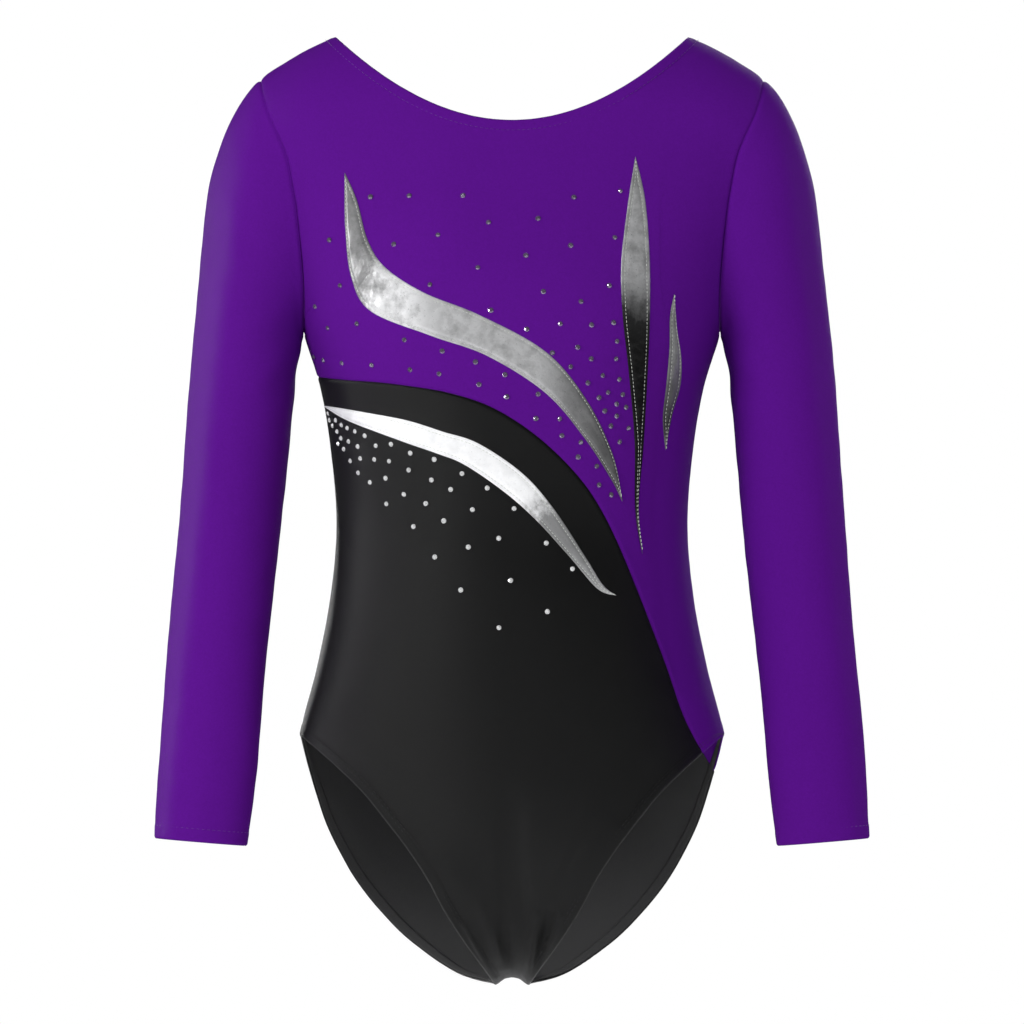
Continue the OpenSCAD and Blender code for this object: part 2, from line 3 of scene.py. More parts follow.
import bpy
import numpy as np
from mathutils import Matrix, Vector, kdtree


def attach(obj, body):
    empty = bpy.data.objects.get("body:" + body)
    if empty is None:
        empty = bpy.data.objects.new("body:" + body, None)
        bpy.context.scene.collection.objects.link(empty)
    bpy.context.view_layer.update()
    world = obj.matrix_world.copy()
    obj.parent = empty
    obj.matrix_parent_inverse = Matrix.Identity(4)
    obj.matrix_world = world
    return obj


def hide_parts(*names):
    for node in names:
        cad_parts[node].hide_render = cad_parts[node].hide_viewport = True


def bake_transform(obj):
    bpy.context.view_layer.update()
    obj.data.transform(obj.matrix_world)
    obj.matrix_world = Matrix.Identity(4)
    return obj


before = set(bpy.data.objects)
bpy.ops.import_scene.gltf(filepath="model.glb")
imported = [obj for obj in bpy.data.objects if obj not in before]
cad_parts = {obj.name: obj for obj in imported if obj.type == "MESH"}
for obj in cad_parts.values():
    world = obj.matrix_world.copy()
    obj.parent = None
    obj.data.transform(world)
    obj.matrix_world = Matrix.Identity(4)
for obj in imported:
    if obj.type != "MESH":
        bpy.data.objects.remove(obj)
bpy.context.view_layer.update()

# ---- the form, in millimetres as in part.scad: side is -1 in front and 1 behind,
# ---- x is to the wearer's left and down is the distance below the shoulder tops

MM = 0.001
CLOTH = 0.9
FRONT, BACK = -1, 1
CHEST, WAIST, HIP, NECK = 118.5, 100.0, 121.0, 100.0  # half widths
DROP = {FRONT: 48.0, BACK: 84.0}  # depth of the neckline
SHOULDER = 143.5  # where the shoulder seam meets the sleeve
ARM_TOP, ARM_BOTTOM = 25.0, 170.0
SIDE_JOIN = 194.0  # the slanting seam's start at the right side
HIP_DOWN, FOOT = 398.0, 10.0  # top of the leg openings, half width of the crotch seam
ARM_STEPS, SIDE_STEPS = 14, 8
WRIST_FORWARD = 10.0
# shares of a panel's top or bottom edge: one shoulder, the slanting seam, one leg opening
SHOULDER_SHARE, SLANT_SHARE, LEG_SHARE = 0.13, 0.9, 0.84


def mix(a, b, t):
    return a + (b - a) * t


WIDTHS = [
    (0, 215), (25, 190), (46, 171), (69, 157), (100, 142), (130, 130), (170, CHEST),
    (200, mix(CHEST, WAIST, 0.5)), (235, mix(CHEST, WAIST, 0.82)), (278, WAIST),
    (320, mix(WAIST, HIP, 0.17)), (360, mix(WAIST, HIP, 0.54)), (398, HIP),
    (440, HIP + 5), (490, HIP + 8), (550, HIP + 10),
]
FRONTS = [
    (0, 36), (20, 43), (48, 53), (80, 64), (110, 74), (145, 83), (170, 85), (210, 82),
    (240, 78), (278, 75), (320, 77), (360, 77), (398, 75), (440, 72), (480, 70), (550, 70),
]
BACKS = [
    (0, 38), (20, 47), (48, 58), (80, 70), (110, 79), (145, 83), (170, 82), (210, 76),
    (250, 71), (278, 71), (310, 76), (350, 86), (390, 95), (420, 98), (460, 97), (550, 95),
]
RIDGE = [
    (0, -22), (60, -12), (NECK, 0), (110, 4), (120, 9), (130, 15), (140, 21.5),
    (SHOULDER, 25), (150, 31), (170, 50),
]
KEEL = [(0, 536), (5, 537.2), (10, 540.5), (20, 542), (60, 544), (130, 548)]
ARMHOLE = [
    (25, SHOULDER), (35, 141.5), (46, 138), (58, 132.5), (69, 128.3), (85, 125),
    (101, 122.5), (138, 119), (170, CHEST),
]
FRONT_LEG = [
    (HIP, HIP_DOWN), (104, 412), (86, 429), (72, 446), (59, 463), (48, 480), (39, 497),
    (28, 514.5), (16, 531.5), (10, 540.4),
]
BACK_LEG = [
    (HIP, HIP_DOWN), (118, 412), (112.5, 432), (107, 449), (99, 466), (89, 483), (75, 500.5),
    (57.5, 517.5), (32, 534.5), (10, 540.4),
]
SLANT = [
    (-109, 194.5), (-101, 195.5), (-90, 196.5), (-76, 197.5), (-56, 200), (-36, 203.5),
    (-14, 210.5), (6, 222), (24, 236.5), (40, 253.5), (51, 270), (61, 290), (71, 314),
    (80, 337), (89, 361), (98, 387),
]
SLANT_END = {FRONT: 0.083, BACK: 0.15}
OUTER = [
    (25, SHOULDER), (30, 152.5), (39, 159), (47, 163), (56, 166), (64, 168), (82, 171.5),
    (100, 174.2), (133, 178), (167, 181.3), (218, 185.3), (321, 193.5), (423, 202),
    (457, 203.5),
]
INNER = [
    (170, CHEST), (176, 120.6), (201, 124.3), (235, 127.4), (270, 130.8), (321, 136),
    (372, 141.4), (423, 146.2), (461, 151),
]
OUTER_STEPS = [
    (0, 25), (0.08, 29.5), (0.16, 40), (0.24, 58), (0.32, 83), (0.4, 118), (0.5, 168.4),
    (0.6, 218), (0.7, 272), (0.8, 333), (0.9, 395), (1, 456.6),
]
INNER_STEPS = [
    (0, 170), (0.08, 171.2), (0.16, 173), (0.24, 177), (0.32, 184.5), (0.4, 198),
    (0.5, 223.6), (0.6, 252), (0.7, 290), (0.8, 341), (0.9, 400.5), (1, 461),
]
ARM_DEPTHS = [(0, 40), (0.2, 39), (0.35, 36), (0.5, 32), (0.7, 26.4), (1, 18)]

CHEST_LOW = [
    (-95, 78), (-94.5, 110), (-91, 138), (-80, 157), (-46, 171), (-14, 182.5),
    (19, 203.5), (41, 229), (56, 252), (62.5, 265),
]
CHEST_HIGH = [
    (-95, 78), (-88, 94), (-82, 116), (-72, 132), (-50, 146.5), (-18, 159.5),
    (19, 180), (42, 207), (57, 238), (62.5, 265),
]
WAIST_LOW = [
    (-107.5, 210), (-93, 219), (-63, 230.5), (-43, 237.5), (-27, 244), (-5, 259),
    (13, 274.8), (31.5, 295), (48.3, 314.2), (59.3, 318.2),
]
WAIST_HIGH = [
    (-107.5, 210), (-83, 214.3), (-59, 219), (-39, 225.3), (-19, 232), (6, 249),
    (24, 269.5), (42, 297), (51.7, 312.4), (59.3, 318.2),
]
LONG_LEFT = [
    (70, 69), (66, 94), (62, 128), (62.5, 157), (66.3, 193), (69.5, 232), (70, 270),
    (74, 295),
]
LONG_RIGHT = [
    (70, 69), (75.5, 94), (78, 128), (78, 165), (76.5, 199), (74.5, 234), (71.8, 268),
    (74, 295),
]
SMALL_LEFT = [(92, 147), (89.6, 160), (89.3, 178), (87.5, 198), (85.3, 218), (87, 236)]
SMALL_RIGHT = [(92, 147), (93.5, 167), (96, 184), (95.5, 199), (91, 215), (87, 236)]

# stones, row by row
UPPER_STONES = [
    (-80.3, 92), (-67, 119), (-46.5, 142), (-12, 156.6), (8.4, 167.3), (22.8, 180.7),
    (33.2, 188.5), (43, 197.6), (49.3, 206), (52.5, 213.5), (56, 222), (61, 231),
    (-58.3, 91.4), (-42, 113.7), (-19.4, 132.3), (17.7, 146), (27.3, 164.2), (37.2, 177.5),
    (44.8, 184), (51.4, 193.4), (54.4, 203), (59.3, 209.6), (59.3, 216.4),
    (-27.8, 91.4), (-13.4, 106.6), (7.8, 125.4), (39, 151.6), (45, 164.8),
    (14.7, 104.4), (33.2, 119.8), (55, 142.5), (57.5, 163.5), (59.5, 174), (59, 184),
    (60.8, 195.6), (62.7, 204.2), (64.6, 211.4), (66, 223.2),
    (35, 92.3), (58.2, 115.2),
    (61.4, 88.8),
]
LOWER_STONES = [
    (-103.7, 116.4), (-97.6, 142.3), (-88, 164), (-61, 173.3), (-39.5, 179.6), (-20.7, 185.8),
    (-4, 193), (14.7, 204), (27, 218), (39, 231.3), (48, 244.8), (56.2, 261),
    (-111.8, 154), (-104.5, 166.3), (-96.5, 186.2), (-79.6, 187.5), (-57.8, 190.2),
    (-41.3, 192.6), (-18.7, 198.6), (-3, 205.5), (13.5, 217.8), (28.2, 227.5), (37.4, 239.6),
    (49.3, 255.4),
    (-112.5, 182.4), (-107, 184.5),
]
BLACK_STONES = [
    (-104.4, 214.6), (-100, 218.6), (-96.7, 221.3), (-93.4, 223.1), (-89, 225), (-83.4, 227.5),
    (-68.5, 232.3), (-57.6, 237.4), (-44, 241), (-28.3, 249), (-14, 257.2), (1.2, 268.8),
    (19.4, 288.4), (34.2, 303),
    (-103.6, 218.4), (-101.8, 221.6), (-99.2, 225), (-97, 228.8), (-92.6, 230.7), (-87.4, 233.6),
    (-77.2, 233.2),
    (-98.6, 232), (-95.4, 235), (-91.7, 241.7), (-87.2, 248.5), (-80.5, 254), (-71.2, 266.2),
    (-55.8, 279), (-43.7, 296.3), (-29, 315), (-7.4, 336.3),
    (-86, 240.4), (-78, 241), (-69.6, 242), (-58.5, 247), (-45.6, 252.6), (-34.7, 258),
    (-22.4, 269.4), (-7.5, 285.7),
    (-71.6, 251.6), (-61.2, 260.8), (-48.8, 266), (-38.6, 275.8), (-24.7, 290.7), (-0.8, 309.6),
    (20, 327.2),
]


def ease(t):
    u = np.clip(t, 0, 1)
    return u * u * (3 - 2 * u)


def hill(x, middle, width):
    """Smooth hill of height 1."""
    return np.exp(-(((x - middle) / width) ** 2))


def unit(v):
    return v / np.maximum(np.linalg.norm(v, axis=-1, keepdims=True), 1e-12)


def curve(table, x):
    """Smooth value of a table of (position, value) pairs."""
    t = np.asarray(table, float)
    x = np.asarray(x, float)
    around = np.concatenate([t[1:], t[-1:]]) - np.concatenate([t[:1], t[:-1]])
    slope = around[:, 1] / around[:, 0]
    i = np.clip(np.searchsorted(t[:, 0], x, side="right") - 1, 0, len(t) - 2)
    w, rise = np.moveaxis(t[i + 1] - t[i], -1, 0)
    u = np.clip((x - t[i, 0]) / w, 0, 1)
    a, b = slope[i] * w, slope[i + 1] * w
    return t[i, 1] + u * (a + u * (3 * rise - 2 * a - b + u * (a + b - 2 * rise)))


def spline(points, t):
    """Smooth line through points, with t from 0 at the first to 1 at the last."""
    p = np.asarray(points, float)
    n = len(p) - 1
    s = np.clip(np.asarray(t, float), 0, 1) * n
    i = np.minimum(s.astype(int), n - 1)
    u = (s - i)[..., None]
    a, b, c, d = p[np.maximum(i - 1, 0)], p[i], p[i + 1], p[np.minimum(i + 2, n)]
    return b + 0.5 * u * (c - a + u * (2 * a - 5 * b + 4 * c - d + u * (3 * (b - c) + d - a)))


def half_width(down):
    return curve(WIDTHS, down)


def rounding(t):
    return np.where(t < 1, 2 * t - t * t, 1)


def depth_squared(side, x, down):
    deep = curve(FRONTS if side < 0 else BACKS, down)
    across = 1 - (np.abs(x) / half_width(down)) ** 2.3
    top = rounding((down - curve(RIDGE, np.abs(x))) / 45)
    low = rounding((curve(KEEL, np.abs(x)) - down) / (120 if side < 0 else 110))
    return deep**2 * across * top * low


def depth(side, x, down):
    """Distance of the form behind the middle; the front is negative."""
    return side * np.sqrt(np.maximum(0, depth_squared(side, x, down)))


def normal(side, x, down):
    e = 0.2
    across = depth_squared(side, x + e, down) - depth_squared(side, x - e, down)
    along = depth_squared(side, x, down + e) - depth_squared(side, x, down - e)
    return unit(np.stack([-across / (2 * e), 2 * depth(side, x, down), along / (2 * e)], -1))


def skin(side, p, out=0.0, least=0.12):
    """Point on the form at p = (x, down), moved out along its normal."""
    x, down = p[..., 0], p[..., 1]
    out = np.broadcast_to(np.asarray(out, float), x.shape)[..., None]
    q = np.stack([x, depth(side, x, down), -down], -1) + normal(side, x, down) * out
    q[..., 1] = side * np.maximum(side * q[..., 1], least)
    return q


def flip(p):
    return p * np.array([-1.0, 1.0])


def armhole_edge(turn):
    down = (ARM_TOP + ARM_BOTTOM) / 2 - (ARM_BOTTOM - ARM_TOP) / 2 * np.cos(turn)
    return np.stack([curve(ARMHOLE, down), down], -1)


def neck_edge(turn, drop):
    return np.stack([NECK * np.cos(turn), drop * np.sin(turn) ** 2], -1)


def shoulder_edge(t):
    x = mix(SHOULDER, NECK, t)
    return np.stack([x, curve(RIDGE, x)], -1)


def side_edge(down):
    return np.stack([half_width(down), down], -1)


def crotch_edge(t):
    x = mix(-FOOT, FOOT, t)
    return np.stack([x, curve(KEEL, np.abs(x)) - 0.02], -1)


def top_edge(u, drop):
    """Right shoulder, neckline and left shoulder in one line."""
    t = u[:, None]
    neck = flip(neck_edge((u - SHOULDER_SHARE) / (1 - 2 * SHOULDER_SHARE) * math.pi, drop))
    right, left = flip(shoulder_edge(u / SHOULDER_SHARE)), shoulder_edge((1 - u) / SHOULDER_SHARE)
    return np.where(t < SHOULDER_SHARE, right, np.where(t > 1 - SHOULDER_SHARE, left, neck))


def flank(step, low):
    step = np.asarray(step, float)
    arm = armhole_edge(np.pi * np.minimum(step, ARM_STEPS) / ARM_STEPS)
    seam = side_edge(mix(ARM_BOTTOM, low, np.maximum(step - ARM_STEPS, 0) / SIDE_STEPS))
    return np.where((step <= ARM_STEPS)[:, None], arm, seam)


def leg_edge(side, t):
    return spline(FRONT_LEG if side < 0 else BACK_LEG, t)


def slant(side, t):
    end = tuple(leg_edge(side, SLANT_END[side]))
    line = [(-float(half_width(SIDE_JOIN)), SIDE_JOIN), *SLANT, end]
    return spline(line, t)


def to_angle(p):
    return np.stack([np.arcsin(np.clip(p[..., 0] / half_width(p[..., 1]), -1, 1)), p[..., 1]], -1)


def from_angle(a):
    return np.stack([half_width(a[..., 1]) * np.sin(a[..., 0]), a[..., 1]], -1)


def progress(edge):
    """Share of an edge's drop that each of its points has come down."""
    return (edge[:, 1] - edge[0, 1]) / (edge[-1, 1] - edge[0, 1])


def fill_in(top, bottom, left, right, u, v):
    """Grid of (x, down) points between four edges; u runs along the top, v down the sides."""
    t, b, le, ri = (to_angle(e) for e in (top, bottom, left, right))
    uu, vv = u[None, :, None], v[:, None, None]
    lean_left = (le - mix(le[0], le[-1], v[:, None]))[:, None]
    lean_right = (ri - mix(ri[0], ri[-1], v[:, None]))[:, None]
    lean = mix(lean_left, lean_right, uu)
    # the sideways lean of each edge is rounded off and fades out across the cloth
    near = hill(v[:, None], v, 0.035) * np.gradient(v)
    near /= near.sum(1, keepdims=True)
    near *= np.clip(np.minimum(v, 1 - v) / 0.05, 0, 1)[:, None]
    lean[..., 0] = 0
    for edge, fade in ((lean_left, 1 - uu), (lean_right, uu)):
        round_off = near @ edge[:, 0, 0]
        lean[..., 0] += round_off[:, None] * fade[..., 0] ** 4
        lean[..., 0] += (edge[:, 0, 0] - round_off)[:, None] * fade[..., 0] ** 16
    grid = mix(t[None], b[None], vv) + lean
    grid[0], grid[-1], grid[:, 0], grid[:, -1] = t, b, le, ri
    return from_angle(grid)


def steps(count, ends, extra=()):
    """Numbers from 0 to 1, evenly spaced in the middle, with the given ones near each end."""
    near = np.array([0.0, *ends])
    middle = np.linspace(near[-1], 1 - near[-1], count)
    return np.unique(np.round(np.concatenate([near, middle, 1 - near, list(extra)]), 6))


# ---- meshes ----


def shell(name, outer, inner, uv, wrap=False, inside_slot=False):
    """Closed thin piece between two grids of points in mm, with metric cloth coordinates."""
    rows, cols = outer.shape[:2]
    last = cols if wrap else cols - 1
    j, i = np.mgrid[0 : rows - 1, 0:last].reshape(2, -1, 1)
    along, across = np.arange(rows - 1)[:, None], np.arange(last)[:, None]
    a, b = np.array([0, 0, 1, 1]), np.array([0, 1, 1, 0])
    # row, column and layer of the four corners: outside, inside, and the edges between them
    quads = [(j + a, i + b, 0), (j + b, i + a, 1)]
    quads += [(0, across + 1 - b, a), (rows - 1, across + b, a)]
    if not wrap:
        quads += [(along + b, 0, a), (along + 1 - b, cols - 1, a)]
    faces = np.concatenate([(layer * rows + row) * cols + col % cols for row, col, layer in quads])
    corners = np.concatenate([row * uv.shape[1] + col for row, col, _ in quads])
    points = np.concatenate([outer.reshape(-1, 3), inner.reshape(-1, 3)]) * MM
    piece = make_mesh(name, points, faces, uv.reshape(-1, 2)[corners])
    if inside_slot:
        index = np.zeros(len(faces), np.int32)
        index[len(j) : 2 * len(j)] = 1
        piece.data.polygons.foreach_set("material_index", index)
    return piece


def make_mesh(name, points, faces, uv=None, smooth=True):
    tri = np.concatenate([faces[:, [0, 1, 2]], faces[:, [0, 2, 3]]])
    p = points[tri]
    volume = np.einsum("ij,ij->i", p[:, 0], np.cross(p[:, 1], p[:, 2])).sum()
    if volume < 0:
        faces = faces[:, ::-1]
        uv = None if uv is None else uv[:, ::-1]
    mesh = bpy.data.meshes.new(name)
    mesh.from_pydata(points.tolist(), [], faces.tolist())
    if uv is not None:
        layer = mesh.uv_layers.new(name="cloth")
        layer.data.foreach_set("uv", (uv * MM).ravel())
    mesh.polygons.foreach_set("use_smooth", np.full(len(mesh.polygons), smooth))
    mesh.update()
    piece = bpy.data.objects.new(name, mesh)
    bpy.context.scene.collection.objects.link(piece)
    return piece


def lengths(grid, axis):
    """Distance along the rows or columns of a grid of points, from its start."""
    step = np.linalg.norm(np.diff(grid, axis=axis), axis=-1)
    zero = np.zeros_like(np.take(step, [0], axis=axis))
    return np.concatenate([zero, np.cumsum(step, axis=axis)], axis=axis)


def distance(points, edge):
    """Distance of each point from a line of points."""
    tree = kdtree.KDTree(len(edge))
    for n, p in enumerate(edge):
        tree.insert(p, n)
    tree.balance()
    shape = points.shape[:-1]
    flat = points.reshape(-1, 3).tolist()
    return np.array([tree.find(p)[2] for p in flat]).reshape(shape)


def ripple(p, size, seed):
    """Smooth pattern of hills and hollows between -1 and 1, of the given size in mm."""
    rng = np.random.default_rng(seed)
    total = np.zeros(p.shape[:-1])
    for _ in range(7):
        way = unit(rng.normal(size=3)) * (2 * math.pi / size) * rng.uniform(0.6, 1.5)
        total += np.sin(p @ way + rng.uniform(0, 6.3))
    return total / 3.2


# Creases of the empty crotch: start and end as (x, down), half width and height
CREASES = [
    ((-27, 506), (-10, 536), 2.2, 2.2),
    ((-34, 500), (-21, 528), 3.0, -1.0),
    ((-17, 496), (-5, 530), 3.6, 1.7),
    ((14, 500), (9, 537), 2.3, 2.0),
    ((27, 500), (17, 530), 2.3, 2.1),
    ((21, 497), (13, 534), 2.0, -1.5),
    ((0, 510), (0, 534), 3.2, -1.2),
    ((-22, 511), (-10, 534), 1.3, -1.6),
    ((24, 498), (13, 534), 1.3, -1.8),
    ((-52, 458), (-12, 500), 9.0, 0.9),
    ((56, 452), (16, 498), 9.0, 0.9),
    ((-96, 402), (-58, 428), 8.0, 0.7),
    ((112, 386), (84, 372), 6.0, 0.6),
]


def creases(side, grid):
    """Height of the creases at each (x, down) of a grid."""
    total = np.zeros(grid.shape[:-1])
    for start, end, wide, high in CREASES:
        a, b = np.array(start, float), np.array(end, float)
        t = np.clip((grid - a) @ (b - a) / ((b - a) @ (b - a)), 0, 1)
        off = np.linalg.norm(grid - mix(a, b, t[..., None]), axis=-1)
        fade = 0.35 + 0.65 * np.sin(np.pi * np.clip(t, 0.1, 0.9))
        total += high * hill(off, 0, wide) * fade
    return total if side == FRONT else total * 0.6


def seam_lines(side):
    """The panels' edges on one side of the body: sewn seams, and hemmed open edges."""
    t = np.linspace(0, 1, 1400)
    arm, flank_line = armhole_edge(t * math.pi), side_edge(mix(ARM_BOTTOM, HIP_DOWN, t))
    seams = [slant(side, t), crotch_edge(t)]
    for line in (arm, shoulder_edge(t), flank_line):
        seams += [line, flip(line)]
    leg = leg_edge(side, t)
    hems = [neck_edge(t * math.pi, DROP[side]), leg, flip(leg)]
    return [np.concatenate([skin(side, line) for line in lines]) for lines in (seams, hems)]


EDGES = {side: seam_lines(side) for side in (FRONT, BACK)}


def edge_height(sewn, hemmed, dip, puff, curl, fold, hem, groove):
    """Height of cloth by its distance from a seam and a hem: it dips into the seam and puffs up
    beside it, curls in at the open edge, stands higher over the hem and dips at its stitching."""
    out = puff * hill(sewn, 2.6, 1.2) - dip * hill(sewn, 0, 0.8)
    out -= curl * np.clip(1 - hemmed / 1.3, 0, 1) ** 2
    out += fold * ease((hem - hemmed) / 1.2)
    return out - groove * hill(hemmed, hem - 0.8, 0.5)


def panel(name, side, grid):
    """Torso panel: cloth that dips into its seams, rolls in at its open edges and creases."""
    base = skin(side, grid)
    sewn, hemmed = (distance(base, lines) for lines in EDGES[side])
    nearest = np.minimum(sewn, hemmed)
    calm = ease(nearest / 8)
    pucker = hill(np.minimum(sewn, hemmed - 5), 0, 6) * ease(sewn / 2)
    out = edge_height(sewn, hemmed, 0.6, 0.08, 1.0, 0.28, 7.2, 0.16)
    out += (creases(side, grid) + 0.22 * ripple(base, 62, 3)) * calm
    out += 0.07 * ripple(base, 9, 5) * pucker
    thin = CLOTH * (1 - 0.55 * hill(nearest, 0, 0.7))
    across = lengths(base, 1)
    uv = np.stack([across - across[:, -1:] / 2, grid[..., 1]], -1)
    return shell(name, skin(side, grid, out), skin(side, grid, out - thin), uv, False, True)


END_U = (0.0016, 0.004, 0.0075, 0.012)  # places of the first points in from each edge
END_V = (0.0007, 0.0017, 0.0033, 0.0055, 0.0085)
JOIN = 0.12  # overlap of the panels along the slanting seam


def upper_panel(name, side):
    turn = SHOULDER_SHARE - 0.0015
    corners = (SHOULDER_SHARE, 1 - SHOULDER_SHARE, SLANT_SHARE, turn, 1 - turn)
    u = steps(100, END_U, corners)
    v = steps(170, END_V)
    s = np.linspace(0, ARM_STEPS + SIDE_STEPS, 6000)
    s = np.interp(v, (progress(flank(s, SIDE_JOIN)) + progress(flank(s, HIP_DOWN))) / 2, s)
    past = np.clip((u - SLANT_SHARE) / (1 - SLANT_SHARE), 0, 1)
    along = np.where(
        (u <= SLANT_SHARE)[:, None],
        slant(side, u / SLANT_SHARE),
        leg_edge(side, mix(SLANT_END[side], 0, past)),
    )
    along[:, 1] -= JOIN * np.clip((1 - u) * 10, 0, 1)
    left, right = flip(flank(s, SIDE_JOIN - JOIN)), flank(s, HIP_DOWN)
    return panel(name, side, fill_in(top_edge(u, DROP[side]), along, left, right, u, v))


def lower_panel(name, side):
    u = steps(96, END_U, (LEG_SHARE,))
    v = 1 - (1 - steps(140, END_V)) ** 1.25
    v[-1] = 1
    foot = np.where(
        (u <= LEG_SHARE)[:, None],
        flip(leg_edge(side, np.minimum(u / LEG_SHARE, 1))),
        crotch_edge(np.clip((u - LEG_SHARE) / (1 - LEG_SHARE), 0, 1)),
    )
    left = flip(side_edge(mix(SIDE_JOIN + JOIN, HIP_DOWN, v)))
    right = leg_edge(side, mix(SLANT_END[side], 1, v))
    right[:, 1] += JOIN * (1 - v)
    return panel(name, side, fill_in(slant(side, u) + np.array([0, JOIN]), foot, left, right, u, v))


# ---- sleeves, built on the wearer's left and mirrored for the right ----


def arm_point(s, turn):
    """Point on the left sleeve: s from the armhole to the wrist, turn round the arm."""
    od, ind = curve(OUTER_STEPS, s), curve(INNER_STEPS, s)
    ax, bx = curve(OUTER, od), curve(INNER, ind)
    cos, sin = np.cos(turn), np.sin(turn)
    x = (ax + bx) / 2 + (ax - bx) / 2 * cos
    down = (od + ind) / 2 + (od - ind) / 2 * cos
    ring = np.stack([x, -curve(ARM_DEPTHS, s) * sin - WRIST_FORWARD * s * s, -down], -1)
    e = armhole_edge(turn)
    front, back = (depth(side, e[..., 0], e[..., 1]) for side in (FRONT, BACK))
    loop = np.stack([e[..., 0], np.where(sin >= 0, front, back), -e[..., 1]], -1)
    return mix(loop, ring, ease(s / 0.35)[..., None])


def arm_normal(s, turn):
    e = 0.02
    along = arm_point(np.minimum(s + e, 1), turn) - arm_point(np.maximum(s - e, 0), turn)
    around = arm_point(s, turn + e) - arm_point(s, turn - e)
    return unit(np.cross(around, along))


def arm_skin(s, turn, out=0.0):
    out = np.broadcast_to(np.asarray(out, float), s.shape)[..., None]
    return arm_point(s, turn) + arm_normal(s, turn) * out


def mirrored(grid, hand):
    return grid * np.array([hand, 1.0, 1.0])


ROUND = 84  # points round a sleeve
WRIST_S = (0.985, 0.99, 0.9945, 0.9975, 0.999)  # closer rings at the cuff


def sleeve(name, hand):
    s = np.unique(np.concatenate([np.linspace(0, 1, 190), WRIST_S]))
    s, turn = np.meshgrid(s, np.linspace(0, 2 * math.pi, ROUND, endpoint=False), indexing="ij")
    base = arm_point(s, turn)
    run = lengths(base, 0)
    left = run[-1:] - run
    out = edge_height(run, left, 0.4, 0.06, 0.8, 0.26, 8.4, 0.14)
    calm = ease(run / 12) * ease(left / 14)
    q = mirrored(base, hand)
    out += (0.45 * ripple(q * np.array([1, 1, 0.7]), 70, 11 + hand) + 0.1 * ripple(q, 21, 14)) * calm
    # faint drag lines where the sleeve turns out of the armpit
    armpit = hill(base[..., 2], -186, 26) * ease((155 - base[..., 0]) / 25)
    out += 0.5 * armpit * np.sin((base[..., 0] * 0.8 + base[..., 2]) / 4.6) * calm
    thin = CLOTH * (1 - 0.5 * hill(np.minimum(run, left), 0, 0.8))
    outer = mirrored(arm_skin(s, turn, out), hand)
    inner = mirrored(arm_skin(s, turn, out - thin), hand)
    # the first ring reaches back to meet the edge of the torso cloth
    reach = 0.6 * np.sin(turn[0])[:, None] ** 2 * unit(outer[1] - outer[0])
    outer[0] -= reach
    inner[0] -= reach
    wide = np.linspace(0, 1, ROUND + 1) * lengths(base[[60]], 1)[0, -1]
    uv = np.stack(np.broadcast_arrays(wide[None], run.mean(1)[:, None]), -1)
    return shell(name, outer, inner, uv, True)


# ---- bands, threads and stones ----

ACROSS = np.linspace(0, 1, 9)  # places across a band
LOOP_PITCH = 1.8


def heading(points, wrap):
    """Direction along a line at each of its points."""
    before, after = np.roll(points, 1, 0), np.roll(points, -1, 0)
    if not wrap:
        before[0], after[-1] = points[0], points[-1]
    return unit(after - before)


def sideways(points, normals, wrap):
    """Direction across a line that lies on a surface."""
    return unit(np.cross(heading(points, wrap), normals))


def band_shell(name, lines, normals, run, reach, depth, wrap, bulge=0.0):
    """Flat band with rounded long edges from nine lines; reach and depth as for a band."""
    low, high = depth
    rounded = (0.42 * (high - low) * np.abs(2 * ACROSS - 1) ** 6)[:, None]
    top = lines - normals * (low + rounded - 0.25 * bulge)[..., None]
    under = lines - normals * (high - rounded + bulge)[..., None]
    along = np.append(run, run[-1] + 1)[: len(run) + wrap]
    uv = np.stack(np.meshgrid(mix(*reach, ACROSS), along, indexing="ij"), -1)
    return shell(name, top, under, uv, wrap)


def band(name, points, normals, reach, depth, wrap=False, loops=0.0, crown=0.0):
    """Band along a line: reach is its start and stop across the line, depth its top and underside
    below it. loops gives its long edges the loops of an overlocked seam."""
    run = lengths(points, 0)
    w, wave = 2 * ACROSS[:, None] - 1, run * 2 * math.pi / LOOP_PITCH
    place = mix(*reach, ACROSS)[:, None] + loops * np.sin(wave) * w**3
    bulge = crown * (1 - w**4) + loops * 0.35 * np.cos(wave)
    lines = points + sideways(points, normals, wrap) * place[..., None]
    return band_shell(name, lines, normals, run, reach, depth, wrap, bulge)


def on_skin(side, p):
    return skin(side, p, 0.0, 0.3), normal(side, p[..., 0], p[..., 1])


def join(*pairs):
    return tuple(np.concatenate(parts) for parts in zip(*pairs))


def neck_loop():
    t = (np.arange(260) + 0.5) / 260 * math.pi
    front, back = neck_edge(t, DROP[FRONT]), neck_edge(t, DROP[BACK])
    return join(on_skin(FRONT, flip(front)), on_skin(BACK, back))


def leg_row(across):
    """Line round the leg opening on the wearer's left, moved across the cloth."""
    t = (np.arange(230) + 0.5) / 230
    parts = []
    for side, at in ((FRONT, t), (BACK, 1 - t)):
        p = leg_edge(side, at)
        ahead, behind = (leg_edge(side, np.clip(at + near, 0, 1)) for near in (0.01, -0.01))
        way = unit(ahead - behind)
        inward = np.stack([-way[:, 1], way[:, 0]], -1)
        moved_on = skin(side, p + inward / 2) - skin(side, p)
        reach = 2 * np.linalg.norm(moved_on, axis=-1, keepdims=True)
        parts.append(on_skin(side, p + inward * across / reach))
    return join(*parts)


def leg_band(name, hand, reach, depth):
    """Flat band round a leg opening, inside the cloth."""
    lines, normals = zip(*(leg_row(place) for place in mix(*reach, ACROSS)))
    run = lengths(lines[0], 0)
    lines, normals = mirrored(np.array(lines), hand), mirrored(np.array(normals), hand)
    return band_shell(name, lines, normals, run, reach, depth, True)


